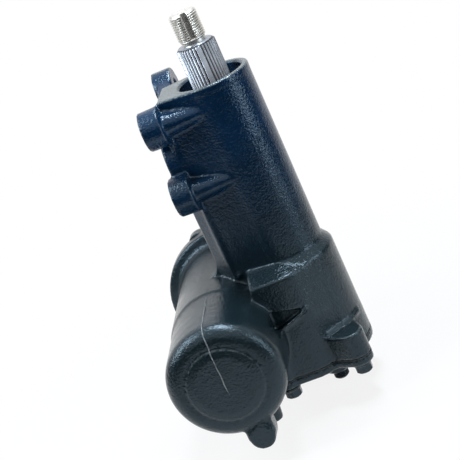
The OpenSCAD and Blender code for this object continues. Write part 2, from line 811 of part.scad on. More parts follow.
module worm_bearing_race() {
    color("#b9bec4") in_row() on_worm(race_start) difference() {
        ring(race_seat_r - press_gap, bearing_circle_r + 1.5, race_len);
        translate([0, 0, race_len / 2]) rotate_extrude()
            translate([bearing_circle_r, 0]) circle(bearing_ball_r + pass_gap, $fn = 24);
    }
}

module worm_bearing_retainer() {
    color("#8d9196") in_row() on_worm(joint_depth + 0.5) difference() {
        ring(race_seat_r - press_gap, 25, race_start - joint_depth - 0.5);
        for (a = [0, 90]) rotate(a) translate([-40, -2, -cut]) cube([80, 4, 1.2 + cut]);
    }
}

module input_bearing() {
    color("#b9bec4") in_row() on_worm(input_bearing_end - input_bearing_len)
        needle_bearing(input_seat_r, input_r + run_gap, input_bearing_len - 0.3);
}

module input_oil_seal() {
    color("#20201f") in_row() on_worm(input_bearing_end) lip_seal(input_seal_r, input_r, 7);
}

module input_snap_ring() {
    color("#9aa0a6") in_row() on_worm(valve_end - 3.8) difference() {
        ring(input_seal_r + 0.8, input_seal_r - 3, snap_ring_t);
        translate([input_seal_r - 4, -4, -cut]) cube([8, 8, 4]);
    }
}

module input_dust_cover() {
    color("#20201f") in_row() on_worm(valve_end) rotate_extrude() polygon([
        [input_r + run_gap, 0.1], [input_seal_r + 3, 0.1], [input_seal_r + 3, 2.2], [input_r + 4, 3.2],
        [input_r + 2, 5], [input_r + run_gap, 5]]);
}

// Sector shaft: lower journal, toothed sector, long journal, spline and threaded end
module sector_shaft() {
    waist_low = chamber_roof + 34;
    waist_high = seal_floor - 34;
    color("#c9ccd0") in_row() difference() {
        union() {
            translate([0, 0, shaft_foot]) cylinder(r = journal_r, h = spline_base - shaft_foot - 2);
            translate([0, 0, spline_base - 2]) cylinder(r1 = journal_r, r2 = spline_root_r - 0.4, h = 2);
            translate([0, 0, -face_w / 2]) linear_extrude(face_w) {
                circle(sector_root_r);
                for (i = [-1:1]) rotate(180 + i * sector_pitch_angle) sector_tooth();
            }
            intersection() {
                translate([0, 0, spline_base - cut]) linear_extrude(spline_len + cut)
                    rotate(-78) serrated(spline_d / 2, spline_depth, spline_count, 1);
                translate([0, 0, spline_base - cut]) chamfered_rod(spline_d / 2, spline_len + cut, 2);
            }
            translate([0, 0, spline_top - cut]) cylinder(d = thread_d - 3, h = relief_len + 2 * cut);
            translate([0, 0, thread_base]) cylinder(d = thread_d, h = thread_len - 2);
            translate([0, 0, shaft_end - 2]) cylinder(d1 = thread_d, d2 = thread_d - 4, h = 2);
        }
        translate([0, 0, waist_low]) ring(journal_r + cut, journal_r - 1, waist_high - waist_low);
        rotate(-78) translate([thread_d / 2 - key_slot_depth, -key_slot_w / 2, thread_base + 1])
            cube([key_slot_depth + cut, key_slot_w, thread_len]);
        translate([0, 0, shaft_foot - cut]) cylinder(r = adjuster_head_r + 1, h = adjuster_head_h + 8 + cut);
    }
}

module adjuster_retainer() {
    color("#8d9196") in_row() translate([0, 0, shaft_foot])
        ring(adjuster_head_r + 1 - press_gap, adjuster_d / 2 + pass_gap, 4.2);
}

module adjuster_shim() {
    shim_z = adjuster_head_z + adjuster_head_h + pass_gap;
    seat_z = shaft_foot + adjuster_head_h + 8;
    color("#8d9196") in_row() translate([0, 0, shim_z])
        cylinder(r = adjuster_head_r + 1 - press_gap, h = seat_z - press_gap - shim_z);
}

// Balls that fill the track, on the right-hand helix of the worm
module ball_places() {
    count = ball_turns * balls_per_turn;
    for (i = [0:count - 1]) rotate(ball_phase + i * 360 / balls_per_turn)
        translate([ball_circle_r, 0, i * worm_lead / balls_per_turn]) children();
}

// Path of the return tube: two legs down to the track and a bridge between them
module return_path(r) {
    for (y = [guide_low, guide_high]) {
        on_worm(y) translate([-guide_top, 0, 0]) rotate([0, 90, 0])
            cylinder(r = r, h = guide_top - ball_circle_r);
        on_worm(y) translate([-guide_top, 0, 0]) sphere(r);
    }
    on_worm(guide_low) translate([-guide_top, 0, 0]) cylinder(r = r, h = guide_high - guide_low);
}

module rack_piston() {
    color("#6f757c") in_row() difference() {
        on_worm(-piston_half) cylinder(r = piston_r, h = piston_len);
        translate([-centre_distance, 0, -piston_r]) linear_extrude(2 * piston_r) {
            translate([rack_tip, -piston_land]) square([20, piston_land + piston_half + cut]);
            for (i = [-1:1]) translate([0, i * rack_pitch]) rack_gap();
        }
        on_worm(-piston_half - cut) cylinder(r = nut_bore_r, h = piston_len + 2 * cut);
        on_worm(-piston_half - cut) cylinder(r = plug_r, h = plug_len + cut);
        on_worm(ring_groove_y) ring(piston_r + cut, piston_r - 4, ring_groove_w);
        on_worm(ball_start) ball_places() sphere(track_r, $fn = 24);
        translate([-centre_distance - piston_r - cut, guide_low - guide_r - 3, -guide_pocket])
            cube([piston_r + cut - guide_seat, guide_high - guide_low + 2 * guide_r + 6, 2 * guide_pocket]);
        return_path(guide_r + press_gap);
        for (s = [-1, 1]) on_worm(guide_mid) translate([-guide_seat - cut, s * clamp_screw_y, 0])
            rotate([0, 90, 0]) cylinder(r = clamp_screw_r, h = 6 + cut);
    }
}

module piston_seal_ring() {
    color("#d8d4c8") in_row() on_worm(ring_groove_y + 0.1)
        ring(bore_r - 0.05, piston_r - 3.8, ring_groove_w - 0.2);
}

module piston_end_plug() {
    color("#8d9196") in_row() on_worm(-piston_half) difference() {
        cylinder(r = plug_r - press_gap, h = plug_len);
        translate([0, 0, -cut]) hexagon(12, 5 + cut);
    }
}

module recirculating_balls() {
    color("#d5d9dd") in_row() on_worm(ball_start) ball_places() sphere(ball_r, $fn = 24);
}

module ball_return_guide() {
    color("#9aa0a6") in_row() difference() {
        return_path(guide_r);
        return_path(ball_r + 0.2);
        on_worm(guide_low - 20) cylinder(r = nut_bore_r, h = guide_high - guide_low + 40);
        on_worm(ball_start) ball_places() sphere(track_r, $fn = 24);
    }
}

module return_guide_clamp() {
    strap_w = 9;
    foot_h = guide_top + guide_r - guide_seat;
    color("#9aa0a6") in_row() on_worm(guide_mid - strap_w / 2) difference() {
        translate([-guide_seat - foot_h - strap_t, -clamp_half, 0])
            cube([foot_h + strap_t, 2 * clamp_half, strap_w]);
        translate([-guide_top, 0, -cut]) cylinder(r = guide_r + press_gap, h = strap_w + 2 * cut);
        translate([-guide_top, -guide_r - press_gap, -cut])
            cube([foot_h, 2 * (guide_r + press_gap), strap_w + 2 * cut]);
        for (s = [-1, 1]) translate([-guide_seat - foot_h - strap_t - cut, s * clamp_screw_y, strap_w / 2])
            rotate([0, 90, 0]) cylinder(r = clamp_screw_r + press_gap, h = foot_h + strap_t + 2 * cut);
    }
}

module guide_clamp_screws() {
    head_x = -guide_top - guide_r - strap_t;
    head_h = 2;
    color("#8d9196") in_row() on_worm(guide_mid) for (s = [-1, 1]) translate([head_x, s * clamp_screw_y, 0]) {
        translate([-head_h, 0, 0]) rotate([0, 90, 0]) cylinder(r = 2.6, h = head_h);
        rotate([0, 90, 0]) cylinder(r = clamp_screw_r - press_gap, h = -head_x - guide_seat + 5);
    }
}

// Cross section of the worm: one round ball groove, laid out over the turn by the lead
module worm_section() {
    points = 24;
    reach = track_r * 0.9;
    function off(a) = worm_lead * (a > 180 ? a - 360 : a) / 360;
    function floor_r(s) = ball_circle_r - sqrt(track_r * track_r - s * s);
    polygon([for (i = [0:points - 1]) let (a = i * 360 / points, s = off(a),
        r = abs(s) < reach ? min(worm_r, floor_r(s)) : worm_r) r * [cos(a), sin(a)]]);
}

module worm_shaft() {
    track_len = worm_track_end - worm_tip;
    turns = track_len / worm_lead;
    start_turn = ball_phase + 360 * (worm_tip - ball_start) / worm_lead;
    color("#aab0b6") in_row() difference() {
        union() {
            on_worm(worm_tip) rotate(start_turn)
                linear_extrude(track_len, twist = -360 * turns, slices = ceil(14 * turns), $fn = 24)
                    worm_section();
            on_worm(worm_track_end - 0.5) cylinder(r = worm_neck_r, h = race_end - worm_track_end + 1);
            on_worm(race_end) cylinder(r = rotor_r + 3, h = sleeve_start - race_end);
            on_worm(sleeve_start - 0.5) cylinder(r = rotor_r, h = rotor_start - sleeve_start - 1);
        }
        on_worm(joint_depth - 26) cylinder(r = torsion_r + pass_gap, h = rotor_start - joint_depth + 30);
        cross_hole(worm_pin_y, cross_pin_r);
        on_worm(sleeve_start + drive_pin_z) rotate([0, 90, 0]) cylinder(r = cross_pin_r, h = valve_bore_r);
    }
}

module worm_bearing_cone() {
    color("#b9bec4") in_row() on_worm(race_start + 1) difference() {
        ring(bearing_circle_r - 1.5, worm_neck_r + press_gap, race_len - 1 - press_gap);
        translate([0, 0, race_len / 2 - 1]) rotate_extrude()
            translate([bearing_circle_r, 0]) circle(bearing_ball_r + press_gap, $fn = 24);
    }
}

module worm_bearing_balls() {
    color("#d5d9dd") in_row() on_worm(bearing_ball_y) for (i = [0:11]) rotate(i * 30)
        translate([bearing_circle_r, 0, 0]) sphere(bearing_ball_r, $fn = 24);
}

module valve_sleeve() {
    color("#9da3a9") in_row() on_worm(sleeve_start) difference() {
        ring(sleeve_r, sleeve_bore_r, sleeve_len);
        translate([0, 0, -cut]) cylinder(r = rotor_r + press_gap, h = 9);
        for (z = ring_places) translate([0, 0, z]) ring(sleeve_r + cut, sleeve_r - 2, sleeve_ring_w);
        for (i = [0:2], a = [45:90:315]) rotate(a + 20 * i) translate([0, 0, 8.5 + i * sleeve_ring_step])
            rotate([0, 90, 0]) cylinder(r = 2.2, h = sleeve_r + cut, $fn = 24);
        translate([0, 0, drive_pin_z]) rotate([0, 90, 0]) cylinder(r = cross_pin_r, h = sleeve_r + cut);
        translate([0, 0, sleeve_len - 1]) cylinder(r1 = sleeve_bore_r, r2 = sleeve_bore_r + 1, h = 1 + cut);
    }
}

module valve_sleeve_rings() {
    color("#d8d4c8") in_row() on_worm(sleeve_start) for (z = ring_places) translate([0, 0, z + 0.05])
        ring(valve_bore_r - 0.05, sleeve_r - 1.8, sleeve_ring_w - 0.1);
}

module sleeve_drive_pin() {
    color("#8d9196") in_row() on_worm(sleeve_start + drive_pin_z) translate([torsion_r + 2, 0, 0])
        rotate([0, 90, 0]) cylinder(r = cross_pin_r - press_gap, h = sleeve_r - torsion_r - 5);
}

module torsion_bar() {
    head_r = torsion_r + pass_gap - press_gap;
    start = joint_depth - 25;
    finish = input_end - 4;
    color("#7d838a") in_row() difference() {
        union() {
            on_worm(start) cylinder(r = head_r, h = 18);
            on_worm(start + 17) cylinder(r = torsion_r - 0.8, h = finish - start - 34);
            on_worm(finish - 18) cylinder(r = head_r, h = 18);
        }
        cross_hole(worm_pin_y, cross_pin_r);
        cross_hole(input_pin_y, cross_pin_r + head_r * tan(twist_limit) + press_gap);
    }
}

module cross_pin(y, half) {
    on_worm(y) translate([-half, 0, 0]) rotate([0, 90, 0])
        cylinder(r = cross_pin_r - press_gap, h = 2 * half);
}

module cross_hole(y, r) {
    on_worm(y) translate([-input_r - cut, 0, 0]) rotate([0, 90, 0]) cylinder(r = r, h = 2 * (input_r + cut));
}

module torsion_bar_worm_pin() {
    color("#8d9196") in_row() cross_pin(worm_pin_y, ball_circle_r - track_r - 0.5);
}

module input_shaft() {
    color("#b4b9bf") in_row() difference() {
        union() {
            on_worm(rotor_start) cylinder(r = rotor_r, h = sleeve_end - 1 - rotor_start);
            on_worm(sleeve_end - 1.5) cylinder(r = input_r, h = serration_start - sleeve_end + 0.5);
            on_worm(serration_start - 1.5) cylinder(r1 = input_r, r2 = serration_d / 2 - 1, h = 2);
            on_worm(serration_start) intersection() {
                linear_extrude(input_end - serration_start)
                    serrated(serration_d / 2, 0.9, serration_count);
                chamfered_rod(serration_d / 2, input_end - serration_start, 1.5);
            }
        }
        for (a = [0:60:300]) on_worm(rotor_start + 4) rotate(a) translate([rotor_r, 0, 0])
            cylinder(r = 2, h = sleeve_end - rotor_start - 10, $fn = 24);
        on_worm(serration_start + serration_len / 2 - 3) ring(serration_d, serration_d / 2 - 2, 6);
        on_worm(rotor_start - cut) cylinder(r = torsion_r + pass_gap, h = input_end - 2 - rotor_start);
        cross_hole(input_pin_y, cross_pin_r);
    }
}

module torsion_bar_input_pin() {
    color("#8d9196") in_row() cross_pin(input_pin_y, serration_d / 2 - 1);
}

gear_housing();
side_cover();
side_cover_gasket();
side_cover_bolts();
adjuster_screw();
adjuster_locknut();
cover_bearing();
neck_bearing_lower();
neck_bearing_upper();
sector_oil_seal();
sector_snap_ring();
sector_dust_seal();
valve_housing();
valve_housing_seal();
valve_housing_bolts();
worm_bearing_race();
worm_bearing_retainer();
input_bearing();
input_oil_seal();
input_snap_ring();
input_dust_cover();
sector_shaft();
adjuster_retainer();
adjuster_shim();
rack_piston();
piston_seal_ring();
piston_end_plug();
recirculating_balls();
ball_return_guide();
return_guide_clamp();
guide_clamp_screws();
worm_shaft();
worm_bearing_cone();
worm_bearing_balls();
valve_sleeve();
valve_sleeve_rings();
sleeve_drive_pin();
torsion_bar();
torsion_bar_worm_pin();
input_shaft();
torsion_bar_input_pin();
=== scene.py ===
import json
import math

import bmesh
import bpy
import numpy as np
from mathutils import Matrix, Vector


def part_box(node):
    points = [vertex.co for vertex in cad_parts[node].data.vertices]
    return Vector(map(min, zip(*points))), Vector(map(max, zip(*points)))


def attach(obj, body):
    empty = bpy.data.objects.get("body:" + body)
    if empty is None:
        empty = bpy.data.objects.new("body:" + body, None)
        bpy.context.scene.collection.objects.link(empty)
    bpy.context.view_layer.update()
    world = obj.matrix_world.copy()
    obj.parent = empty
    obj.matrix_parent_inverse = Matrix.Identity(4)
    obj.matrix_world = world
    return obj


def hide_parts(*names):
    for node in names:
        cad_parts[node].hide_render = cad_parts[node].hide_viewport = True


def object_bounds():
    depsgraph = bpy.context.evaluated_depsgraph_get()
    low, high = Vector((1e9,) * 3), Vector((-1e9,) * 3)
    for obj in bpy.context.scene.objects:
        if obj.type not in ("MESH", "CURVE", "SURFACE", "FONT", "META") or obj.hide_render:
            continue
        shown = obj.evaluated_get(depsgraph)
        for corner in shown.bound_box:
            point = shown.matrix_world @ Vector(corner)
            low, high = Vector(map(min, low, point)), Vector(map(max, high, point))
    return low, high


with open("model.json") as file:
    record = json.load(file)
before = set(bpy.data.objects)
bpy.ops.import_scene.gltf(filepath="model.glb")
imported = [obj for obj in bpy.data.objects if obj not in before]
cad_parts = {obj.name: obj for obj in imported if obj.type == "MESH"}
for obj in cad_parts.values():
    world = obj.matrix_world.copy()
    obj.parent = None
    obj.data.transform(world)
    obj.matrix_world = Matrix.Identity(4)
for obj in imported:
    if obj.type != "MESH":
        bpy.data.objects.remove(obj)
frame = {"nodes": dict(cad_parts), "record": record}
CAD_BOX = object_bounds()

bl_info = {
    "name": "Steering gearbox",
    "version": (1, 0, 0),
    "blender": (4, 5, 0),
    "location": "View3D > Sidebar > Gearbox",
    "description": "Dresses the packed steering gearbox with castings, bolts, threads and finishes",
    "category": "Object",
}


def middle(node):
    """Centre of a CAD node's box as an array."""
    low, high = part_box(node)
    return np.array((low + high) / 2)


# Places that the frame gives. All sizes and places are in metres.
SECTOR_AXIS = middle("neck_bearing_upper")[:2]
WORM_AXIS = middle("worm_bearing_race")[[0, 2]]
SHAFT_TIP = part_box("sector_shaft")[1].z
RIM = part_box("gear_housing")[1].z
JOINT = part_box("valve_housing")[0].y
CLOSED_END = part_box("gear_housing")[0].y
ADJUSTER_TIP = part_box("adjuster_screw")[0].z
LOCKNUT_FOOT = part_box("adjuster_locknut")[0].z
COVER_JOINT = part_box("side_cover_gasket")[1].z

# Meshes
MOST_TRIANGLES = 190000
SHARP_ANGLE = math.radians(38)
WELD_DISTANCE = 1e-6
SHORTEST_EDGE = 1e-9

# Relaxing of a casting's skin: shares of the way to the neighbours' mean, and of the way back
RELAX = 0.5
RELAX_BACK = 0.52
EVEN_BACK = 0.53
EVEN_ROUNDS = 4
# Rounds of evening of the edge value, which gives chipped paint and a painted highlight on convex edges
EDGE_VALUE_ROUNDS = 2

# Wear of the neck's rim: how far below it the rubbing starts, and where it is whole
RUB_START = 0.0014
RUB_WHOLE = 0.0002

# Zones of the castings that are machined
RECESS_ZONE = 0.0292
CYLINDER_ZONE = 0.0425
COVER_BORE_ZONE = 0.0262
VALVE_BORE_ZONE = 0.0325
FACE_ZONE = 0.0015
COVER_FACE_ZONE = 0.0012
COVER_JOINT_ZONE = 0.003
PAD_FOOT = -0.06

# Zones of the gear housing that keep most of their edge: the chamber's lips and the closed end's disc
LIP_INNER_X = 0.03
LIP_BACK_Y = -0.05
LIP_MIDDLE_Z = -0.170
LIP_HALF = 0.027
DISC_ZONE = 0.038
DISC_ZONE_DEPTH = 0.006
EDGE_KEPT = 0.8

# The cylinder's bore, outside, rounded end and disc
BORE_REACH = 0.0012
BORE_START = CLOSED_END + 0.0165
RING_CLEARANCE = 0.00012
CYLINDER_OUTSIDE = 0.0505
END_ROUND = 0.013
END_START = CLOSED_END + 0.0155
DISC_EDGE = 0.0322
DISC_EDGE_WIDTH = 0.0008
DISC_EDGE_DEPTH = 0.003
# Painted highlight in a ring at the disc's edge: the height over the worm axis where it is fullest, and its
# level at the axis and at that height
DISC_HIGHLIGHT_HEIGHT = 0.025
DISC_HIGHLIGHT = (0.09, 0.18)

# The neck's rim
RIM_OUTSIDE = 0.03405
RIM_ROUND = 0.0018
RIM_ROUND_CENTRE = 0.0323
RIM_ROUND_DROP = 0.0017
RECESS_RADIUS = 0.0279

# The parting line's flash
FLASH_START = -0.076
FLASH_BEND = -0.09
FLASH_HALF_WIDTH = 0.0005
FLASH_WANDER = 0.0003
FLASH_FADE = 0.01
FLASH_ROWS = 360
FLASH_COLUMNS = 12

# Bolt heads: shares of the flats where the corners are cut and where the chamfer starts
BOLT_COLUMNS = 72
CROWN_ROWS = 9
CROWN_START = 0.12
CROWN_RISE = 0.0003
CROWN_DROP = 0.0009
CORNER_SHARE = 0.56
CHAMFER_SHARE = 0.44
CHAMFER_SLOPE = 0.75
VALVE_BOLT_CIRCLE = 0.054
VALVE_BOLT_TURNS = np.radians(107 + 90 * np.arange(4))

# Threads: rows to one pitch, and depth and run-out as shares of the pitch
THREAD_COLUMNS = 144
THREAD_ROWS = 12
THREAD_DEPTH = 0.6
RUN_OUT = 0.8
TIP_CHAMFER = 0.0018
THREAD_LAP = 0.001
FINE_PITCH = 0.0015
PORT_COLUMNS = 96
PORT_ROWS = 10
PORT_THREAD_DEPTH = 0.0009
PORT_CHAMFER = 0.0012
PORT_PROUD = 0.00006
PORT_LENGTH = 0.0155

# The output shaft's end: neck below the thread, key slot, and centre hole by radius and depth
OUTPUT_NECK_RADIUS = 0.0105
OUTPUT_NECK_LENGTH = 0.0025
OUTPUT_RELIEF = 0.002
KEY_SLOT_ANGLE = math.radians(-78)
KEY_SLOT_HALF = 0.0025
KEY_SLOT_DEPTH = 0.003
CENTRE_HOLE = [(0.0042, 0.0), (0.0038, 0.0003), (0.0016, 0.0042), (0.0016, 0.006)]
SPLINE_ROOT = 0.0156
SPLINE_TIP = 0.017

# The adjuster's tip
ADJUSTER_SPLIT = LOCKNUT_FOOT + 0.004
ADJUSTER_ROOT = 0.0062
SOCKET_FLATS = 0.006
SOCKET_DEPTH = 0.006

# Grain of the finishes, in cycles to the metre
CLOUDS = 34
PEEL = 110
SHEEN = 120
STEEL_TONE = 160
CHIPS = 260
# Grain of the painted shade on the output spline
SPLINE_SHADE_GRAIN = 300
BARE_IRON = 500
SAND = 560

# The photograph's camera: side and focal length in pixels, and the pixel of the rim's centre
PHOTO_SIDE = 460
PHOTO_FOCAL = 1445.8
RIM_PIXEL = (209.2, 75.5)

# Room, floor and lamps
LAMP_COLOUR = (0.82, 0.92, 1.0)
ROOM_COLOUR = (0.9, 0.96, 1.0, 1)
ROOM_STRENGTH = 0.045
WHITE = (1, 1, 1, 1)
BACKDROP_EDGE = (0.2, 0.6)
CEILING_EDGE = (0.2, 0.55)
FLOOR_GAP = 0.002
FLOOR_X = (-1.6, 0.5)
FLOOR_Y = (-0.47, 1.6)
FLOOR_COLOUR = (0.86, 0.86, 0.86, 1)
SHADOW_SPOT = (0.03, -0.02)
SHADOW_EDGE = (0.08, 0.42)
SHADOW_SHARE = 0.86


def length(name, description, default):
    """Property for a length."""
    return bpy.props.FloatProperty(
        name=name, description=description, default=default, unit="LENGTH", precision=5
    )


def angle(name, description, degrees):
    """Property for an angle, from its default in degrees."""
    return bpy.props.FloatProperty(
        name=name, description=description, default=math.radians(degrees), subtype="ANGLE"
    )


def power(name, description, default):
    """Property for a lamp's power."""
    return bpy.props.FloatProperty(name=name, description=description, default=default, unit="POWER")


def colour(name, description, default):
    """Property for a colour."""
    return bpy.props.FloatVectorProperty(
        name=name, description=description, default=default, subtype="COLOR", min=0, max=1
    )


class CastingSizes(bpy.types.PropertyGroup):
    """Skin of the iron castings."""

    skin: length("Skin", "Spacing of the points on a casting's skin", 0.00125)
    fillet_rounds: bpy.props.IntProperty(
        name="Fillet rounds",
        description="Rounds of relaxing that give the cast edges their fillets",
        default=5,
        min=0,
    )
    flash_height: length("Flash height", "Height of the parting line's flash", 0.0009)
    flash_angle: angle("Flash angle", "Turn of the parting line from straight up towards the frame pad", 0)


class BoltSizes(bpy.types.PropertyGroup):
    """Heads of the cover and valve housing bolts."""

    flats: length("Flats", "Width across flats", 0.014)
    head: length("Head", "Height of the head", 0.010)
    washer: length("Washer", "Radius of the washer face", 0.00868)
    shank: length("Shank", "Radius of the shank", 0.00498)


class ThreadSizes(bpy.types.PropertyGroup):
    """Threads of the output shaft, the adjuster and the oil ports."""

    output_radius: length("Output thread", "Crest radius of the output thread", 0.012)
    output_length: length("Output length", "Length of the output thread", 0.024)
    output_pitch: length("Output pitch", "Pitch of the output thread", 0.002)
    adjuster_radius: length("Adjuster thread", "Crest radius of the adjuster", 0.00698)
    port_radius: length("Port thread", "Radius of an oil port", 0.008)


class FinishColours(bpy.types.PropertyGroup):
    """Colours of the finishes."""

    paint: colour("Paint", "Blue-black paint", (0.0003, 0.0155, 0.0445))
    # Greyer paint low on the casting: partly thinner paint, partly a painted reflection of the pale floor
    paint_low_and_reflection: colour("Low paint and painted reflection", "Greyer paint, partly thinner, partly a painted floor reflection", (0.0105, 0.0215, 0.0265))
    steel: colour("Steel", "Bright turned steel", (0.41, 0.455, 0.52))
    # Lighter and warmer than the shaft's steel: a lit copy of the same steel, painted light on the thread
    thread: colour("Thread", "Cut thread of the output shaft", (0.72, 0.7, 0.66))
    plated: colour("Plated steel", "Zinc-plated fasteners", (0.42, 0.42, 0.40))
    iron: colour("Iron", "Machined, hardened iron", (0.24, 0.25, 0.26))
    rubber: colour("Rubber", "Moulded rubber", (0.016, 0.016, 0.017))


class StudioSettings(bpy.types.PropertyGroup):
    """Camera and lamps of the plain studio."""

    azimuth: angle("Azimuth", "Turn of the camera about the upright", 11.5)
    elevation: angle("Elevation", "Camera's height above the level", 18.5)
    roll: angle("Roll", "Lean of the camera", -24.6)
    distance: bpy.props.FloatProperty(
        name="Distance", description="From the camera to the neck's rim", default=1.2, unit="LENGTH"
    )
    softbox: power("Softbox", "Power of the overhead softbox", 11.0)
    side_panel: power("Side panel", "Power of the panel on the frame pad's side", 7.0)
    edge_panel: power("Edge panel", "Power of the panel beside the neck's round side", 2.8)


SETTINGS = {
    "gearbox_casting": CastingSizes,
    "gearbox_bolts": BoltSizes,
    "gearbox_threads": ThreadSizes,
    "gearbox_colours": FinishColours,
    "gearbox_studio": StudioSettings,
}


def points_of(mesh, field="co"):
    """Places or normals of a mesh's points, one to a row."""
    values = np.empty(len(mesh.vertices) * 3)
    mesh.vertices.foreach_get(field, values)
    return values.reshape(-1, 3)


def links_of(mesh):
    """First and second point of each edge, and how many edges meet at each point."""
    ends = np.empty(len(mesh.edges) * 2, int)
    mesh.edges.foreach_get("vertices", ends)
    tail, head = ends.reshape(-1, 2).T
    return tail, head, np.maximum(np.bincount(ends, minlength=len(mesh.vertices)), 1)


def neighbour_mean(values, tail, head, degree):
    """Mean of a value over each point's neighbours."""
    count = len(degree)
    return (np.bincount(tail, values[head], count) + np.bincount(head, values[tail], count)) / degree


def full_turn(columns):
    """Angles of that many columns round a full turn."""
    return np.linspace(0, 2 * np.pi, columns, endpoint=False)


def sheet_of(rows):
    """Quads between the neighbouring rows of a grid whose columns close into rings."""
    count, ring = rows.shape[:2]
    index = np.arange(count * ring).reshape(count, ring)
    ahead = np.roll(index, -1, axis=1)
    return np.stack([index[:-1], ahead[:-1], ahead[1:], index[1:]], axis=-1).reshape(-1, 4)


def turned(name, rows, poles=True):
    """Closed piece from rings of points, rows x columns x 3. With poles, each end is closed by a fan to the
    mean of its ring; without, the last ring runs back into the first. Faces are turned so that the volume,
    a sixth of the sum of a . (b x c) over the triangles, is positive."""
    rows = np.asarray(rows, float)
    count, ring = rows.shape[:2]
    points = rows.reshape(-1, 3)
    quads = sheet_of(rows)
    fans = np.empty((0, 3), int)
    first = np.arange(ring)
    last = first + (count - 1) * ring
    if poles:
        points = np.vstack([points, rows[0].mean(0), rows[-1].mean(0)])
        fans = np.vstack([
            np.stack([np.full(ring, count * ring), np.roll(first, -1), first], 1),
            np.stack([np.full(ring, count * ring + 1), last, np.roll(last, -1)], 1),
        ])
    else:
        quads = np.vstack([quads, np.stack([last, np.roll(last, -1), np.roll(first, -1), first], 1)])
    halves = np.vstack([quads[:, :3], quads[:, [0, 2, 3]], fans])
    a, b, c = (points[halves[:, k]] for k in range(3))
    if np.einsum("ij,ij->", a, np.cross(b, c)) < 0:
        quads, fans = quads[:, ::-1], fans[:, ::-1]
    mesh = bpy.data.meshes.new(name)
    mesh.from_pydata(points.tolist(), [], quads.tolist() + fans.tolist())
    return placed(name, mesh)


def smoothed(mesh):
    """Smooth faces with the sharp edges kept."""
    mesh.polygons.foreach_set("use_smooth", np.ones(len(mesh.polygons), bool))
    mesh.set_sharp_from_angle(angle=SHARP_ANGLE)
    mesh.update()


def placed(name, mesh):
    """Object of a finished mesh, at the origin."""
    piece = bpy.data.objects.new(name, mesh)
    bpy.context.collection.objects.link(piece)
    smoothed(mesh)
    return piece


def joined(name, *pieces):
    """One piece from several whose meshes hold their places."""
    whole = bmesh.new()
    for piece in pieces:
        whole.from_mesh(piece.data)
        bpy.data.objects.remove(piece)
    mesh = bpy.data.meshes.new(name)
    whole.to_mesh(mesh)
    whole.free()
    return placed(name, mesh)


def dressed(piece, body, slot, *nodes, finish=None):
    """Gives a piece its finish, the slot's unless another is named, and its body, and lets it stand for CAD
    nodes."""
    piece.data.materials.clear()
    piece.data.materials.append(bpy.data.materials[finish or slot])
    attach(piece, body)
    if nodes:
        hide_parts(*nodes)
    return piece


def welded_copy(node, name):
    """Copy of a CAD node with its loose triangles welded into one skin."""
    mesh = frame["nodes"][node].data.copy()
    mesh.name = name
    mesh.materials.clear()
    shell = bmesh.new()
    shell.from_mesh(mesh)
    bmesh.ops.remove_doubles(shell, verts=shell.verts, dist=WELD_DISTANCE)
    shell.to_mesh(mesh)
    shell.free()
    return mesh


def applied(piece, name):
    """Mesh of an object with its modifiers applied. The object is removed."""
    mesh = bpy.data.meshes.new_from_object(piece.evaluated_get(bpy.context.evaluated_depsgraph_get()))
    bpy.data.objects.remove(piece)
    mesh.name = name
    return mesh


def casting(node, name, machined):
    """Casting from a CAD node. A voxel skin is laid over the welded copy, and each point then moves by half
    the way to the mean of its neighbours, round after round, so that sharp edges take a fillet. Where
    machined(points) is one, the way back is taken too, which evens the skin and keeps the edge."""
    sizes = bpy.context.scene.gearbox_casting
    rough = bpy.data.objects.new(name + "_rough", welded_copy(node, name + "_rough"))
    bpy.context.collection.objects.link(rough)
    skin = rough.modifiers.new("skin", "REMESH")
    skin.mode = "VOXEL"
    skin.voxel_size = sizes.skin
    mesh = applied(rough, name)
    points = points_of(mesh)
    links = links_of(mesh)
    kept = machined(points)[:, None]

    def pull(p):
        return np.stack([neighbour_mean(p[:, k], *links) for k in range(3)], 1) - p

    for _ in range(sizes.fillet_rounds):
        points = points + RELAX * pull(points)
        points = points - RELAX_BACK * kept * pull(points)
    for _ in range(EVEN_ROUNDS):
        points = points + RELAX * pull(points)
        points = points - EVEN_BACK * pull(points)
    mesh.vertices.foreach_set("co", points.ravel())
    mesh.materials.clear()
    piece = placed(name, mesh)
    triangles = 2 * len(mesh.polygons)
    if triangles > MOST_TRIANGLES:
        thin = piece.modifiers.new("thin", "DECIMATE")
        thin.ratio = MOST_TRIANGLES / triangles
        piece = placed(name, applied(piece, name))
    edge_wear_and_highlight(piece.data)
    return piece


def edge_wear_and_highlight(mesh):
    """Stores how sharply the skin stands out at each point: the mean over its edges of the drop along the
    normal to the neighbour, over the edge's length, then evened twice with the neighbours. The paint shows
    bare iron by it on convex edges: partly chipped paint, partly a painted highlight."""
    points, normals = points_of(mesh), points_of(mesh, "normal")
    tail, head, degree = links_of(mesh)
    count = len(degree)
    way = points[head] - points[tail]
    reach = np.maximum(np.linalg.norm(way, axis=1), SHORTEST_EDGE)
    drop_tail = -np.einsum("ij,ij->i", way, normals[tail]) / reach
    drop_head = np.einsum("ij,ij->i", way, normals[head]) / reach
    edge = (np.bincount(tail, drop_tail, count) + np.bincount(head, drop_head, count)) / degree
    for _ in range(EDGE_VALUE_ROUNDS):
        edge = (edge + neighbour_mean(edge, tail, head, degree)) / 2
    mesh.attributes.new("edge", "FLOAT", "POINT").data.foreach_set("value", edge.astype(np.float32))


def raise_wear_and_highlight(mesh, wear):
    """Raises the stored edge value of each point, which carries both wear and painted highlights, to the value
    given, where that is more.
    """
    stored = mesh.attributes["edge"].data
    edge = np.empty(len(mesh.vertices))
    stored.foreach_get("value", edge)
    stored.foreach_set("value", np.maximum(edge, wear))


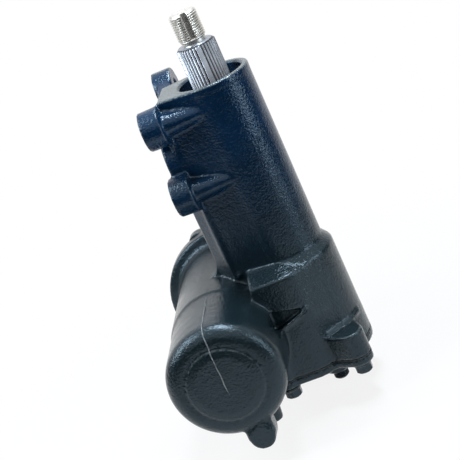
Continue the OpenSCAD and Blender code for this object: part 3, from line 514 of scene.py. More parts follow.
def rubbed_top(mesh):
    """Raises the wear to one over the last millimetre below the neck's rim, where the paint is rubbed off."""
    raise_wear_and_highlight(mesh, np.interp(points_of(mesh)[:, 2], [RIM - RUB_START, RIM - RUB_WHOLE], [0, 1]))


def round_sector(points):
    """Distance of points from the sector shaft's axis."""
    return np.hypot(points[:, 0] - SECTOR_AXIS[0], points[:, 1] - SECTOR_AXIS[1])


def round_worm(points):
    """Distance of points from the worm's axis."""
    return np.hypot(points[:, 0] - WORM_AXIS[0], points[:, 2] - WORM_AXIS[1])


def lathe_sector(profile, columns=128):
    """Rings about the sector axis from a profile of radius and height."""
    profile = np.asarray(profile, float)
    turn = full_turn(columns)
    ring = np.stack([np.cos(turn), np.sin(turn)], 1)
    flat = SECTOR_AXIS + profile[:, 0, None, None] * ring
    height = np.broadcast_to(profile[:, 1, None, None], flat.shape[:2] + (1,))
    return np.concatenate([flat, height], -1)


def hexagon_radius(turn, flats):
    """Radius of a hexagon at an angle: half the flats over the cosine of the angle from the nearest flat."""
    return flats / 2 / np.cos((turn % (np.pi / 3)) - np.pi / 6)


def bolt(name, seat, axis, grip):
    """Hexagon bolt about an axis that points out of its head. Its rings follow the hexagon's radius, cut by a
    chamfer at the top and spreading into the washer face below, then close on the shank."""
    sizes = bpy.context.scene.gearbox_bolts
    turn = full_turn(BOLT_COLUMNS)
    hexagon = np.minimum(hexagon_radius(turn, sizes.flats), sizes.flats * CORNER_SHARE)
    across = np.linspace(CROWN_START, 1, CROWN_ROWS)[:, None] * hexagon
    crown = sizes.head + CROWN_RISE - CROWN_DROP * (across / sizes.flats * 2) ** 2
    crown = crown - np.maximum(0, across - sizes.flats * CHAMFER_SHARE) * CHAMFER_SLOPE
    # The head's sides, by what they stand out from the hexagon and by height
    sides = [(0, crown[-1] - 0.0005), (0, sizes.head * 0.35), (0.00005, 0.0028), (0.0005, 0.0022)]
    # The washer face and the shank, by radius and height
    collar = np.array([
        [sizes.washer - 0.0004, 0.0018],
        [sizes.washer, 0.0013],
        [sizes.washer, 0],
        [sizes.shank, 0],
        [sizes.shank, -grip],
    ])
    radius = np.vstack([
        across,
        [hexagon + spread for spread, _ in sides],
        np.repeat(collar[:, :1], BOLT_COLUMNS, 1),
    ])
    height = np.vstack([
        crown,
        [np.broadcast_to(level, turn.shape) for _, level in sides],
        np.repeat(collar[:, 1:], BOLT_COLUMNS, 1),
    ])
    axis = np.asarray(axis, float)
    side = np.cross(axis, [0, 0, 1.0] if abs(axis[2]) < 0.9 else [1.0, 0, 0])
    side /= np.linalg.norm(side)
    across_side = np.cross(axis, side)
    rows = (
        np.asarray(seat, float)
        + (radius * np.cos(turn))[..., None] * side
        + (radius * np.sin(turn))[..., None] * across_side
        + height[..., None] * axis
    )
    return turned(name, rows)


def thread_wave(turn, along, pitch):
    """Thread's height from root to crest, zero to one: a triangle wave of the way along less the pitch for
    each turn, with a flat a sixth of the pitch wide at crest and root."""
    phase = (along / pitch - turn / (2 * np.pi)) % 1.0
    return np.clip((np.abs(phase - 0.5) * 2 - 0.5) * 1.5 + 0.5, 0, 1)


def upright_rings(axis, turn, radius, height):
    """Rings about an upright axis from rows of radius and of height."""
    return np.stack([axis[0] + radius * np.cos(turn), axis[1] + radius * np.sin(turn), height], -1)


def threaded_rod(name, start, tip, neck, crest, pitch, end_hole, slot=None):
    """Threaded end along the sector axis. The radius is the crest less the thread's depth, drops to the
    neck's before the first turn, and is cut by a 45 degree chamfer at the tip and by a flat-bottomed key slot
    where slot gives its angle, half width and floor. neck holds the neck's radius and length. The end face
    runs in to end_hole, rows of hole radius (by angle) and depth."""
    up = 1.0 if tip > start else -1.0
    reach = abs(tip - start)
    neck_radius, neck_length = neck
    turn = full_turn(THREAD_COLUMNS)
    along = np.linspace(0, reach, int(reach / (pitch / THREAD_ROWS)) + 1)[:, None]
    radius = crest - THREAD_DEPTH * pitch * (1 - thread_wave(turn, along * up, pitch))
    run_out = np.clip((along - neck_length) / (pitch * RUN_OUT), 0, 1)
    radius = neck_radius + (radius - neck_radius) * run_out
    radius = np.minimum(radius, crest - TIP_CHAMFER + (reach - along))
    if slot is not None:
        slot_angle, half, floor = slot
        off = (turn - slot_angle + np.pi) % (2 * np.pi) - np.pi
        inside = (np.abs(np.sin(off) * crest) < half) & (np.abs(off) < 1) & (along > neck_length + pitch)
        radius = np.where(inside, np.minimum(radius, floor / np.cos(off)), radius)
    height = np.broadcast_to(along, radius.shape)
    holes = np.array([np.broadcast_to(hole, turn.shape) for hole, _ in end_hole])
    depths = np.array([np.full(turn.shape, reach - depth) for _, depth in end_hole])
    radius, height = np.vstack([radius, holes]), np.vstack([height, depths])
    return turned(name, upright_rings(SECTOR_AXIS, turn, radius, start + up * height))


def threaded_port(name, centre, top, radius):
    """Threaded wall of an oil port, upright: the inside follows the thread wave, the outside lies in the
    casting, and a chamfer opens the mouth."""
    turn = full_turn(PORT_COLUMNS)
    along = np.linspace(0, PORT_LENGTH, int(PORT_LENGTH / (FINE_PITCH / PORT_ROWS)) + 1)[:, None]
    inside = radius - PORT_THREAD_DEPTH * thread_wave(turn, along, FINE_PITCH)
    inside = np.maximum(inside, radius + PORT_CHAMFER - (PORT_LENGTH - along))
    # The mouth's face and the outside, by radius and height
    outside = np.array([
        [radius + 0.0013, PORT_LENGTH + PORT_PROUD],
        [radius + 0.0026, PORT_LENGTH + PORT_PROUD],
        [radius + 0.0015, 0.0],
    ])
    radii = np.vstack([inside, np.repeat(outside[:, :1], PORT_COLUMNS, 1)])
    heights = np.vstack([
        np.broadcast_to(along, inside.shape),
        np.repeat(outside[:, 1:], PORT_COLUMNS, 1),
    ])
    return turned(name, upright_rings(centre, turn, radii, top - PORT_LENGTH + heights), poles=False)


def node_of(tree, kind, **inputs):
    """Shader node with its constant sockets set by name, an underscore standing for a space."""
    made = tree.nodes.new(kind)
    for name, value in inputs.items():
        made.inputs[name.replace("_", " ")].default_value = value
    return made


def grain(tree, where, scale, detail=4.0):
    """Noise with that many cycles to the metre."""
    noise = node_of(tree, "ShaderNodeTexNoise", Scale=scale, Detail=detail, Roughness=0.55)
    tree.links.new(where, noise.inputs["Vector"])
    return noise.outputs[0]


def stretched(tree, where, scale):
    """Object coordinates scaled along each axis, for lines that run one way."""
    mapping = node_of(tree, "ShaderNodeMapping", Scale=scale)
    tree.links.new(where, mapping.inputs["Vector"])
    return mapping.outputs[0]


def grey(tone):
    """Four channels from a grey level or a colour."""
    return (*tone, 1.0) if hasattr(tone, "__len__") else (tone, tone, tone, 1.0)


def graded(tree, factor, *stops):
    """Colour ramp from pairs of position and colour, or position and grey."""
    ramp = tree.nodes.new("ShaderNodeValToRGB")
    for element, (position, tone) in zip(ramp.color_ramp.elements, (stops[0], stops[-1])):
        element.position = position
        element.color = grey(tone)
    for position, tone in stops[1:-1]:
        ramp.color_ramp.elements.new(position).color = grey(tone)
    tree.links.new(factor, ramp.inputs[0])
    return ramp.outputs[0]


def blended(tree, factor, first, second):
    """Mix of two colour outputs by a factor output."""
    mix = tree.nodes.new("ShaderNodeMix")
    mix.data_type = "RGBA"
    tree.links.new(factor, mix.inputs["Factor"])
    tree.links.new(first, mix.inputs["A"])
    tree.links.new(second, mix.inputs["B"])
    return mix.outputs["Result"]


def mixed(tree, factor, first, second):
    """Mix of two shader outputs by a factor output."""
    mix = tree.nodes.new("ShaderNodeMixShader")
    for socket, output in zip(mix.inputs, (factor, first, second)):
        tree.links.new(output, socket)
    return mix.outputs[0]


def combined(tree, operation, first, second):
    """Two outputs put together by a Math node."""
    made = tree.nodes.new("ShaderNodeMath")
    made.operation = operation
    tree.links.new(first, made.inputs[0])
    tree.links.new(second, made.inputs[1])
    return made.outputs[0]


def vector_node(tree, operation, where, constant):
    """Vector Math node of an output and a constant."""
    made = tree.nodes.new("ShaderNodeVectorMath")
    made.operation = operation
    made.inputs[1].default_value = constant
    tree.links.new(where, made.inputs[0])
    return made


def ranged(tree, value, low, high, floor=0.0):
    """The floor below low, one above high, and even between."""
    span = node_of(tree, "ShaderNodeMapRange", From_Min=low, From_Max=high, To_Min=floor)
    tree.links.new(value, span.inputs["Value"])
    return span.outputs[0]


def height_of(tree, where, low, high):
    """Zero below the height low, one above high, and even between."""
    split = tree.nodes.new("ShaderNodeSeparateXYZ")
    tree.links.new(where, split.inputs[0])
    return ranged(tree, split.outputs["Z"], low, high)


def raised(tree, height, strength, distance, under=None):
    """Bump from a height output, over another bump where one is given."""
    bump = node_of(tree, "ShaderNodeBump", Strength=strength, Distance=distance)
    tree.links.new(height, bump.inputs["Height"])
    if under is not None:
        tree.links.new(under, bump.inputs["Normal"])
    return bump.outputs[0]


def new_finish(name, **shader_inputs):
    """Node material of that name, made anew, with its shader's constants set, and its tree, shader and Object
    coordinates."""
    finish = bpy.data.materials.get(name) or bpy.data.materials.new(name)
    finish.use_nodes = True
    tree = finish.node_tree
    tree.nodes.clear()
    shader = node_of(tree, "ShaderNodeBsdfPrincipled", **shader_inputs)
    tree.links.new(shader.outputs[0], tree.nodes.new("ShaderNodeOutputMaterial").inputs[0])
    where = tree.nodes.new("ShaderNodeTexCoord").outputs["Object"]
    return tree, shader, where


def paint_finish(name, grain_depth, greyer_low, greyer_high):
    """Blue-black gloss over cast iron: greyer paint low on the casting, partly thinner paint and partly a
    painted reflection of the pale floor; chips and bare iron on the convex edges, partly worn paint and partly
    a painted highlight, a painted highlight ring at the disc's edge and bare iron where the rim is rubbed;
    sand grain and orange peel in the surface, and a sheen that wanders."""
    colours = bpy.context.scene.gearbox_colours
    tree, shader, where = new_finish(name, Specular_Tint=(0.68, 0.86, 1.0, 1.0))
    # Greyer paint low on the casting, blending up into the deep paint: partly thinner paint, partly a painted
    # reflection of the pale floor
    cover = height_of(tree, where, greyer_low, greyer_high)
    cloud = grain(tree, where, CLOUDS, 5)
    deep = graded(tree, cloud, (0.3, colours.paint), (0.75, [c * 1.7 + 0.002 for c in colours.paint]))
    thin = graded(tree, cloud, (0.3, [c * 0.75 for c in colours.paint_low_and_reflection]), (0.7, colours.paint_low_and_reflection))
    coat = blended(tree, cover, thin, deep)
    # The stored edge value turns the paint to bare iron: where the rim is rubbed; on convex edges, partly
    # chipped paint and partly a painted highlight; and in a painted highlight ring at the disc's edge
    edge = tree.nodes.new("ShaderNodeAttribute")
    edge.attribute_name = "edge"
    wear = edge.outputs["Fac"]
    chips = graded(tree, grain(tree, where, CHIPS, 5), (0.42, 0.0), (0.6, 1.0))
    chipped_and_highlit = combined(tree, "MULTIPLY", graded(tree, wear, (0.06, 0.0), (0.17, 0.8)), chips)
    rubbed = graded(tree, wear, (0.4, 0.0), (0.9, 0.85))
    iron_grain = grain(tree, where, BARE_IRON, 4)
    bare = graded(tree, iron_grain, (0.3, (0.05, 0.062, 0.066)), (0.7, (0.16, 0.18, 0.18)))
    surface = blended(tree, rubbed, blended(tree, chipped_and_highlit, coat, bare), bare)
    tree.links.new(surface, shader.inputs["Base Color"])
    sheen = graded(tree, grain(tree, where, SHEEN, 4), (0.3, 0.1), (0.75, 0.19))
    tree.links.new(sheen, shader.inputs["Roughness"])
    peel = raised(tree, grain(tree, where, PEEL, 2), 0.5, grain_depth)
    sand = raised(tree, grain(tree, where, SAND, 2), 0.8, grain_depth, peel)
    tree.links.new(sand, shader.inputs["Normal"])


def painted_spline_shade(tree, where, tone):
    """Colour of the output spline with painted shade: the metal is darkened down between the teeth, by the
    distance from the sector axis, and at the spline's foot up to a little over the neck's rim. Beyond the
    spline the metal keeps its own tone."""
    flat = vector_node(tree, "MULTIPLY", where, (1, 1, 0))
    away = vector_node(tree, "DISTANCE", flat.outputs[0], (*SECTOR_AXIS, 0)).outputs["Value"]
    depth = ranged(tree, away, 2 * SPLINE_ROOT - SPLINE_TIP, SPLINE_TIP)
    unshaded = graded(tree, depth, (0.2, 1.0), (0.38, 0.0), (0.5, 0.0), (0.88, 1.0))
    beyond = ranged(tree, away, SPLINE_TIP + 0.0005, SPLINE_TIP + 0.002)
    risen = graded(tree, height_of(tree, where, RIM - 0.004, RIM + 0.014), (0.0, 0.25), (1.0, 1.0))
    unshaded_zone = combined(tree, "MAXIMUM", beyond, risen)
    shade_grain = grain(tree, where, SPLINE_SHADE_GRAIN, 3)
    # Dark tone of the painted shade
    painted_shade_tone = graded(tree, shade_grain, (0.3, (0.02, 0.02, 0.022)), (0.7, (0.075, 0.075, 0.08)))
    return blended(tree, unshaded_zone, painted_shade_tone, blended(tree, unshaded, painted_shade_tone, tone))


def steel_finish(name, metal, line_scale, rough, spline=False):
    """Cut or ground steel: fine tool lines along line_scale's long way and a wandering tone, with painted
    shade between the teeth and at the foot where it has the output spline."""
    tree, shader, where = new_finish(name, Metallic=1.0)
    lines = grain(tree, stretched(tree, where, line_scale), 1.0, 3)
    tone = graded(tree, grain(tree, where, STEEL_TONE, 4), (0.3, [c * 0.72 for c in metal]), (0.7, metal))
    if spline:
        tone = painted_spline_shade(tree, where, tone)
    tree.links.new(tone, shader.inputs["Base Color"])
    tree.links.new(graded(tree, lines, (0.3, rough[0]), (0.7, rough[1])), shader.inputs["Roughness"])
    tree.links.new(raised(tree, lines, 0.12, 0.00005), shader.inputs["Normal"])


def moulded_finish(name, dark, light, rough, scale, depth):
    """Rubber, sealing plastic, fibre or cast flash: a mottled colour with a fine skin."""
    tree, shader, where = new_finish(name)
    mottle = grain(tree, where, scale, 5)
    tree.links.new(graded(tree, mottle, (0.3, dark), (0.7, light)), shader.inputs["Base Color"])
    tree.links.new(graded(tree, mottle, (0.3, rough[0]), (0.7, rough[1])), shader.inputs["Roughness"])
    tree.links.new(raised(tree, grain(tree, where, scale * 5, 3), 0.4, depth), shader.inputs["Normal"])


class GEARBOX_OT_finishes(bpy.types.Operator):
    """Makes the gearbox's finishes and gives each CAD node the one of its slot"""

    bl_idname = "gearbox.finishes"
    bl_label = "Finishes"

    def execute(self, context):
        colours = context.scene.gearbox_colours
        steel, rubber = list(colours.steel), list(colours.rubber)
        # Greyer paint below 0.125 m under the origin: partly thinner paint, partly a painted reflection of the
        # pale floor
        paint_finish("housing_paint", 0.00065, -0.125, 0.0)
        paint_finish("bolt_paint", 0.00025, 0.5, 1.0)
        # The shaft's spline gets painted shade between its teeth and at its foot
        steel_finish("shaft_steel", steel, (60, 60, 2600), (0.18, 0.36), spline=True)
        # The thread's steel is a lighter, warmer copy of the shaft's steel, painted light
        steel_finish("lit_thread_steel", list(colours.thread), (60, 60, 2600), (0.34, 0.5))
        steel_finish("bearing_steel", [c * 1.1 for c in steel], (900, 900, 900), (0.12, 0.24))
        steel_finish("plated_steel", list(colours.plated), (500, 500, 500), (0.32, 0.5))
        steel_finish("piston_iron", list(colours.iron), (1800, 90, 1800), (0.34, 0.52))
        moulded_finish("seal_rubber", [c * 0.7 for c in rubber], rubber, (0.5, 0.7), 240, 0.0002)
        moulded_finish("seal_ptfe", (0.62, 0.6, 0.54), (0.72, 0.7, 0.64), (0.35, 0.5), 180, 0.0001)
        # The flash's light grey is partly bare iron, partly a painted highlight along the bead
        moulded_finish("flash_iron_and_highlight", (0.07, 0.08, 0.085), (0.34, 0.36, 0.37), (0.25, 0.4), 300, 0.0001)
        moulded_finish("gasket_fibre", (0.035, 0.037, 0.04), (0.075, 0.08, 0.085), (0.75, 0.9), 420, 0.0003)
        for part in frame["record"]["subparts"]:
            shape = frame["nodes"][part["node"]]
            shape.data.materials.clear()
            shape.data.materials.append(bpy.data.materials[part["material_slot"]])
        return {"FINISHED"}


class GEARBOX_OT_housing(bpy.types.Operator):
    """Casts the gear housing, with its turned rim and the flash of its parting line"""

    bl_idname = "gearbox.housing"
    bl_label = "Gear housing"

    def execute(self, context):
        body = casting("gear_housing", "housing_casting", self.machined)
        self.bore(body.data)
        rubbed_top(body.data)
        # Painted highlight ring at the edge of the closed end's disc
        self.painted_disc_highlight(body.data)
        dressed(body, "housing", "housing_paint", "gear_housing")
        dressed(self.rim(), "housing", "housing_paint")
        flash = self.flash(context.scene.gearbox_casting)
        dressed(flash, "housing", "housing_paint", finish="flash_iron_and_highlight")
        return {"FINISHED"}

    @staticmethod
    def machined(points):
        """One on the bores, the joint faces and the frame pad, and a little less on the lips and the disc."""
        x, y, z = points.T
        bore = (round_sector(points) < RECESS_ZONE) | (round_worm(points) < CYLINDER_ZONE)
        faces = (x < FACE_ZONE) & (z > PAD_FOOT) | (y > JOINT - FACE_ZONE)
        lips = (x > LIP_INNER_X) & (y < LIP_BACK_Y) & (np.abs(z - LIP_MIDDLE_Z) < LIP_HALF)
        disc = (y < CLOSED_END + DISC_ZONE_DEPTH) & (round_worm(points) < DISC_ZONE)
        joint = np.abs(z - COVER_JOINT) < COVER_JOINT_ZONE
        return np.where(bore | faces | joint, 1.0, EDGE_KEPT * (lips | disc))

    @staticmethod
    def bore(mesh):
        """Bores the cylinder: points of the skin behind the end wall and about as far from the worm axis as
        the piston's ring take the ring's radius and a small clearance."""
        low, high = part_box("piston_seal_ring")
        ring = (high.x - low.x) / 2
        points = points_of(mesh)
        away = round_worm(points)
        wall = (np.abs(away - ring) < BORE_REACH) & (points[:, 1] > BORE_START)
        scale = (ring + RING_CLEARANCE) / away[wall, None]
        points[wall, ::2] = WORM_AXIS + (points[wall, ::2] - WORM_AXIS) * scale
        mesh.vertices.foreach_set("co", points.ravel())
        mesh.update()

    @staticmethod
    def painted_disc_highlight(mesh):
        """Paints a highlight, through the stored edge value, in a thin ring at the edge of the closed end's
        disc: a bell curve of the distance from the worm axis, on the points near the end face, and twice as
        high at the top as below, where the light falls."""
        points = points_of(mesh)
        ring = np.exp(-(((round_worm(points) - DISC_EDGE) / DISC_EDGE_WIDTH) ** 2))
        ring *= np.interp(points[:, 2] - WORM_AXIS[1], [0, DISC_HIGHLIGHT_HEIGHT], DISC_HIGHLIGHT)
        raise_wear_and_highlight(mesh, np.where(points[:, 1] < CLOSED_END + DISC_EDGE_DEPTH, ring, 0))

    @staticmethod
    def rim():
        """Turned rim and seal recess of the neck: a closed profile of radius and height carried round the
        sector axis, up the outside, over a rounded lip, down the recess and back inside the wall."""
        bend = np.linspace(0, np.pi / 2, 7)
        lip = np.stack([
            RIM_ROUND_CENTRE + RIM_ROUND * np.cos(bend),
            RIM - RIM_ROUND_DROP + RIM_ROUND * np.sin(bend),
        ], 1)
        profile = np.vstack([
            [[0.0335, RIM - 0.009], [RIM_OUTSIDE, RIM - 0.007]],
            lip,
            [[0.0298, RIM + 0.0001], [RECESS_RADIUS, RIM - 0.0016], [RECESS_RADIUS, RIM - 0.0148]],
            [[0.0283, RIM - 0.0150], [0.0310, RIM - 0.008]],
        ])
        rim = turned("neck_rim", lathe_sector(profile), poles=False)
        rim.data.attributes.new("edge", "FLOAT", "POINT")
        rubbed_top(rim.data)
        return rim

    @staticmethod
    def flash(sizes):
        """Flash of the parting line: a low bead carried along the top of the cylinder in the upright plane
        through the worm axis, over the rounded end and down the disc past its middle. Products of two sine
        waves make its height waver and its path wander, and both ends fade out."""
        arc = np.linspace(0, np.pi / 2, 9)
        end = CLOSED_END
        side = np.stack([
            CYLINDER_OUTSIDE - END_ROUND + END_ROUND * np.cos(arc),
            END_START - END_ROUND * np.sin(arc),
        ], 1)
        # The disc, by height over the worm axis and place along it
        disc = [[0.034, end + 0.0024], [0.0325, end + 0.0014], [0.026, end + 0.0002], [-0.009, end]]
        top = [[CYLINDER_OUTSIDE, FLASH_START], [CYLINDER_OUTSIDE, FLASH_BEND]]
        path = np.vstack([top, side, disc])
        steps = np.concatenate([[0], np.cumsum(np.linalg.norm(np.diff(path, axis=0), axis=1))])
        fine = np.linspace(0, steps[-1], FLASH_ROWS)
        path = np.stack([np.interp(fine, steps, path[:, k]) for k in range(2)], 1)
        ahead = np.gradient(path, axis=0)
        ahead /= np.linalg.norm(ahead, axis=1)[:, None]
        out = np.stack([-ahead[:, 1], ahead[:, 0]], 1)
        waver = np.clip(0.7 + 0.5 * np.sin(fine * 410) * np.sin(fine * 173 + 1.0), 0.3, 1)
        wander = FLASH_WANDER * np.sin(fine * 330) * np.sin(fine * 97)
        fade = np.clip(np.minimum(fine, fine[-1] - fine) / FLASH_FADE, 0.05, 1)
        turn = full_turn(FLASH_COLUMNS)
        rise = sizes.flash_height * (waver * fade)[:, None] * np.cos(turn)
        wide = FLASH_HALF_WIDTH * fade[:, None] * np.sin(turn) + wander[:, None]
        flat = path[:, None] + rise[..., None] * out[:, None]
        lean = np.array([-math.sin(sizes.flash_angle), math.cos(sizes.flash_angle)])
        cross = np.array([lean[1], -lean[0]])
        x = WORM_AXIS[0] + flat[..., 0] * lean[0] + wide * cross[0]
        z = WORM_AXIS[1] + flat[..., 0] * lean[1] + wide * cross[1]
        return turned("parting_flash", np.stack([x, flat[..., 1], z], -1))


class GEARBOX_OT_cover(bpy.types.Operator):
    """Casts the side cover and sets its bolts and the adjuster's threaded tip"""

    bl_idname = "gearbox.cover"
    bl_label = "Side cover"

    def execute(self, context):
        cover = casting("side_cover", "cover_casting", self.machined)
        dressed(cover, "housing", "housing_paint", "side_cover")
        low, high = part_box("side_cover_bolts")
        seat = low.z + context.scene.gearbox_bolts.head
        grip = high.z - seat
        heads = [bolt("cover_bolt", (*place, seat), (0, 0, -1), grip) for place in self.bolt_places()]
        dressed(joined("cover_bolts", *heads), "housing", "bolt_paint", "side_cover_bolts")
        dressed(self.adjuster(context.scene.gearbox_threads), "housing", "bolt_paint", "adjuster_screw")
        return {"FINISHED"}

    @staticmethod
    def bolt_places():
        """Centres of the four cover bolts, from the boxes of their points in each quarter of the cover."""
        flat = points_of(frame["nodes"]["side_cover_bolts"].data)[:, :2]
        quarter = (flat > middle("side_cover_bolts")[:2]) @ [1, 2]
        return [(flat[quarter == q].min(0) + flat[quarter == q].max(0)) / 2 for q in range(4)]

    @staticmethod
    def machined(points):
        """One on the joint face and in the bore."""
        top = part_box("side_cover_gasket")[0].z
        face = points[:, 2] > top - COVER_FACE_ZONE
        return ((round_sector(points) < COVER_BORE_ZONE) | face).astype(float)

    @staticmethod
    def adjuster(sizes):
        """Adjuster: the CAD shape above the lock nut, and below it a threaded tip with a hexagon socket."""
        upper = placed("adjuster_upper", welded_copy("adjuster_screw", "adjuster_upper"))
        cut_off(upper, ADJUSTER_SPLIT, keep_above=True)
        socket = hexagon_radius(full_turn(THREAD_COLUMNS), SOCKET_FLATS)
        hole = [(socket + 0.0003, 0.0), (socket, 0.0004), (socket, SOCKET_DEPTH)]
        start = ADJUSTER_SPLIT + THREAD_LAP
        neck = (ADJUSTER_ROOT, 0.0)
        crest = sizes.adjuster_radius
        tip = threaded_rod("adjuster_tip", start, ADJUSTER_TIP, neck, crest, FINE_PITCH, hole)
        return joined("adjuster", upper, tip)


def cut_off(piece, height, keep_above):
    """Cuts a piece level at a height, closes the cut and keeps one side."""
    shell = bmesh.new()
    shell.from_mesh(piece.data)
    every = shell.verts[:] + shell.edges[:] + shell.faces[:]
    bmesh.ops.bisect_plane(
        shell,
        geom=every,
        plane_co=(0, 0, height),
        plane_no=(0, 0, 1),
        clear_inner=keep_above,
        clear_outer=not keep_above,
    )
    bmesh.ops.holes_fill(shell, edges=[e for e in shell.edges if e.is_boundary])
    shell.to_mesh(piece.data)
    shell.free()
    smoothed(piece.data)


class GEARBOX_OT_valve_housing(bpy.types.Operator):
    """Casts the valve housing and sets its bolts and port threads"""

    bl_idname = "gearbox.valve_housing"
    bl_label = "Valve housing"

    def execute(self, context):
        valve = casting("valve_housing", "valve_casting", self.machined)
        dressed(valve, "housing", "housing_paint", "valve_housing")
        low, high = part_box("valve_housing_bolts")
        seat = high.y - context.scene.gearbox_bolts.head
        places = np.stack([
            WORM_AXIS[0] + VALVE_BOLT_CIRCLE * np.cos(VALVE_BOLT_TURNS),
            np.full(len(VALVE_BOLT_TURNS), seat),
            WORM_AXIS[1] + VALVE_BOLT_CIRCLE * np.sin(VALVE_BOLT_TURNS),
        ], 1)
        heads = [bolt("valve_bolt", place, (0, 1, 0), seat - low.y) for place in places]
        dressed(joined("valve_bolts", *heads), "housing", "bolt_paint", "valve_housing_bolts")
        radius = context.scene.gearbox_threads.port_radius
        for mount in frame["record"]["mounts"]:
            if mount["name"].endswith("_port"):
                x, y, z = mount["pos_m"]
                top = z + mount["dims"]["length_mm"] / 2000
                wall = threaded_port(mount["name"] + "_thread", (x, y), top, radius)
                dressed(wall, "housing", "plated_steel")
        return {"FINISHED"}

    @staticmethod
    def machined(points):
        """One on the joint face, in the bores and at the nose."""
        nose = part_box("valve_housing")[1].y - FACE_ZONE
        faces = (points[:, 1] < JOINT + FACE_ZONE) | (points[:, 1] > nose)
        return (faces | (round_worm(points) < VALVE_BORE_ZONE)).astype(float)


class GEARBOX_OT_output_shaft(bpy.types.Operator):
    """Dresses the output shaft with its spline and threaded end"""

    bl_idname = "gearbox.output_shaft"
    bl_label = "Output shaft"

    def execute(self, context):
        sizes = context.scene.gearbox_threads
        relief = SHAFT_TIP - sizes.output_length - OUTPUT_RELIEF
        shaft = placed("output_shaft", welded_copy("sector_shaft", "output_shaft"))
        cut_off(shaft, relief, keep_above=False)
        dressed(shaft, "sector", "shaft_steel", "sector_shaft")
        neck = (OUTPUT_NECK_RADIUS, OUTPUT_NECK_LENGTH)
        slot = (KEY_SLOT_ANGLE, KEY_SLOT_HALF, sizes.output_radius - KEY_SLOT_DEPTH)
        end = threaded_rod(
            "output_thread",
            relief - THREAD_LAP,
            SHAFT_TIP,
            neck,
            sizes.output_radius,
            sizes.output_pitch,
            CENTRE_HOLE,
            slot,
        )
        dressed(end, "sector", "shaft_steel", finish="lit_thread_steel")
        return {"FINISHED"}


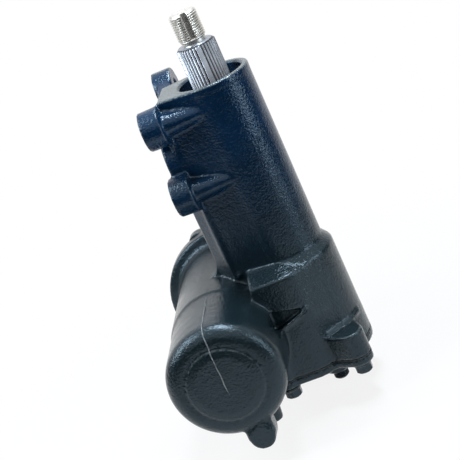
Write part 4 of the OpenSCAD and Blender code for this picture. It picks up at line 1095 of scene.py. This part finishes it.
class GEARBOX_OT_studio(bpy.types.Operator):
    """Sets the floor, the world, the lamps and the camera"""

    bl_idname = "gearbox.studio"
    bl_label = "Studio"

    def execute(self, context):
        studio = context.scene.gearbox_studio
        context.scene.view_settings.view_transform = "Standard"
        self.floor()
        back, right, up = self.axes(studio)
        self.world(context.scene, -back)
        rim = Vector((*SECTOR_AXIS, RIM))
        target = rim - up * 0.15
        overhead = rim + up * 0.78 + back * 0.2 - right * 0.15
        pad_side = target - right * 0.8 + back * 0.2 + up * 0.25
        round_side = target + right * 0.7 + back * 0.45 + up * 0.3
        self.lamp("softbox", overhead, target, (0.5, 0.13), studio.softbox)
        self.lamp("side_panel", pad_side, target, (0.3, 0.8), studio.side_panel)
        self.lamp("edge_panel", round_side, target, (0.25, 0.6), studio.edge_panel)
        self.camera(context.scene, studio.distance, back, right, up, rim)
        return {"FINISHED"}

    @staticmethod
    def axes(studio):
        """The camera's backward, right and up directions from its azimuth, elevation and roll."""
        a, e, r = studio.azimuth, studio.elevation, studio.roll
        back = Vector((math.sin(a) * math.cos(e), -math.cos(a) * math.cos(e), math.sin(e)))
        level = Vector((math.cos(a), math.sin(a), 0))
        upright = back.cross(level)
        right = level * math.cos(r) + upright * math.sin(r)
        return back, right, upright * math.cos(r) - level * math.sin(r)

    @staticmethod
    def camera(scene, distance, back, right, up, rim):
        """Camera whose square picture has the rim's centre at the photograph's pixel."""
        across, down = ((pixel - PHOTO_SIDE / 2) / PHOTO_FOCAL for pixel in RIM_PIXEL)
        ray = right * across - up * down - back
        data = bpy.data.cameras.new("camera")
        data.lens = data.sensor_width * PHOTO_FOCAL / PHOTO_SIDE
        camera = bpy.data.objects.new("camera", data)
        scene.collection.objects.link(camera)
        turn = Matrix((right, up, back)).transposed().to_4x4()
        camera.matrix_world = Matrix.Translation(rim - ray * distance) @ turn
        scene.camera = camera

    @staticmethod
    def lamp(name, spot, target, size, watts):
        """Rectangular softbox that faces a target."""
        data = bpy.data.lights.new(name, "AREA")
        data.shape = "RECTANGLE"
        data.size, data.size_y = size
        data.energy = watts
        data.color = LAMP_COLOUR
        lamp = bpy.data.objects.new(name, data)
        bpy.context.collection.objects.link(lamp)
        turn = (target - spot).to_track_quat("-Z", "Y").to_matrix().to_4x4()
        lamp.matrix_world = Matrix.Translation(spot) @ turn

    @staticmethod
    def ray_kinds(tree):
        """Whether a ray comes from the camera, and whether it comes from metal or glass."""
        path = tree.nodes.new("ShaderNodeLightPath").outputs
        mirrored = combined(tree, "MAXIMUM", path["Is Glossy Ray"], path["Is Transmission Ray"])
        return path["Is Camera Ray"], mirrored

    def world(self, scene, ahead):
        """White room to the camera; to metal and glass, a white backdrop ahead of the camera and a white
        ceiling; and otherwise a dim, even room."""
        world = bpy.data.worlds.new("studio")
        world.use_nodes = True
        tree = world.node_tree
        dim = tree.nodes["Background"]
        dim.inputs["Color"].default_value = ROOM_COLOUR
        dim.inputs["Strength"].default_value = ROOM_STRENGTH
        white = node_of(tree, "ShaderNodeBackground", Color=WHITE, Strength=1.0)
        from_camera, mirrored = self.ray_kinds(tree)
        way = tree.nodes.new("ShaderNodeTexCoord").outputs["Generated"]
        along = vector_node(tree, "DOT_PRODUCT", way, ahead).outputs["Value"]
        backdrop = ranged(tree, along, *BACKDROP_EDGE)
        pale = combined(tree, "MAXIMUM", backdrop, height_of(tree, way, *CEILING_EDGE))
        seen = combined(tree, "MAXIMUM", from_camera, combined(tree, "MULTIPLY", mirrored, pale))
        room = mixed(tree, seen, dim.outputs[0], white.outputs[0])
        tree.links.new(room, tree.nodes["World Output"].inputs[0])
        scene.world = world

    def floor(self):
        """Pale floor just under the adjuster's tip, nearly white to the camera and in reflections but for the
        shadow, wholly white away from the gearbox, and clear from below."""
        level = CAD_BOX[0].z - FLOOR_GAP
        (left, right), (near, far) = FLOOR_X, FLOOR_Y
        corners = [(left, near, level), (right, near, level), (right, far, level), (left, far, level)]
        mesh = bpy.data.meshes.new("floor")
        mesh.from_pydata(corners, [], [(0, 1, 2, 3)])
        floor = bpy.data.objects.new("floor", mesh)
        bpy.context.collection.objects.link(floor)
        surface = bpy.data.materials.new("pale_floor")
        surface.use_nodes = True
        tree = surface.node_tree
        tree.nodes.clear()
        matt = node_of(tree, "ShaderNodeBsdfDiffuse", Color=FLOOR_COLOUR)
        glow = node_of(tree, "ShaderNodeEmission", Color=WHITE, Strength=1.0)
        seen = combined(tree, "MAXIMUM", *self.ray_kinds(tree))
        where = tree.nodes.new("ShaderNodeTexCoord").outputs["Object"]
        away = vector_node(tree, "DISTANCE", where, (*SHADOW_SPOT, level)).outputs["Value"]
        share = ranged(tree, away, *SHADOW_EDGE, floor=SHADOW_SHARE)
        lit = mixed(tree, combined(tree, "MULTIPLY", seen, share), matt.outputs[0], glow.outputs[0])
        below = tree.nodes.new("ShaderNodeNewGeometry").outputs["Backfacing"]
        clear = tree.nodes.new("ShaderNodeBsdfTransparent")
        both = mixed(tree, below, lit, clear.outputs[0])
        tree.links.new(both, tree.nodes.new("ShaderNodeOutputMaterial").inputs[0])
        mesh.materials.append(surface)


STEPS = (
    GEARBOX_OT_finishes,
    GEARBOX_OT_housing,
    GEARBOX_OT_cover,
    GEARBOX_OT_valve_housing,
    GEARBOX_OT_output_shaft,
    GEARBOX_OT_studio,
)


class GEARBOX_PT_steps(bpy.types.Panel):
    """Lists the gearbox's settings and steps"""

    bl_label = "Steering gearbox"
    bl_space_type = "VIEW_3D"
    bl_region_type = "UI"
    bl_category = "Gearbox"

    def draw(self, context):
        for name, group in SETTINGS.items():
            box = self.layout.box()
            box.label(text=group.__doc__)
            for field in group.__annotations__:
                box.prop(getattr(context.scene, name), field)
        for step in STEPS:
            self.layout.operator(step.bl_idname)


def register():
    for group in (*SETTINGS.values(), *STEPS, GEARBOX_PT_steps):
        bpy.utils.register_class(group)
    for name, group in SETTINGS.items():
        setattr(bpy.types.Scene, name, bpy.props.PointerProperty(type=group))


def unregister():
    for name in SETTINGS:
        delattr(bpy.types.Scene, name)
    for group in (GEARBOX_PT_steps, *reversed(STEPS), *reversed(SETTINGS.values())):
        bpy.utils.unregister_class(group)


def main():
    register()
    bpy.ops.gearbox.finishes()
    bpy.ops.gearbox.housing()
    bpy.ops.gearbox.cover()
    bpy.ops.gearbox.valve_housing()
    bpy.ops.gearbox.output_shaft()
    bpy.ops.gearbox.studio()


if __name__ == "__main__":
    main()
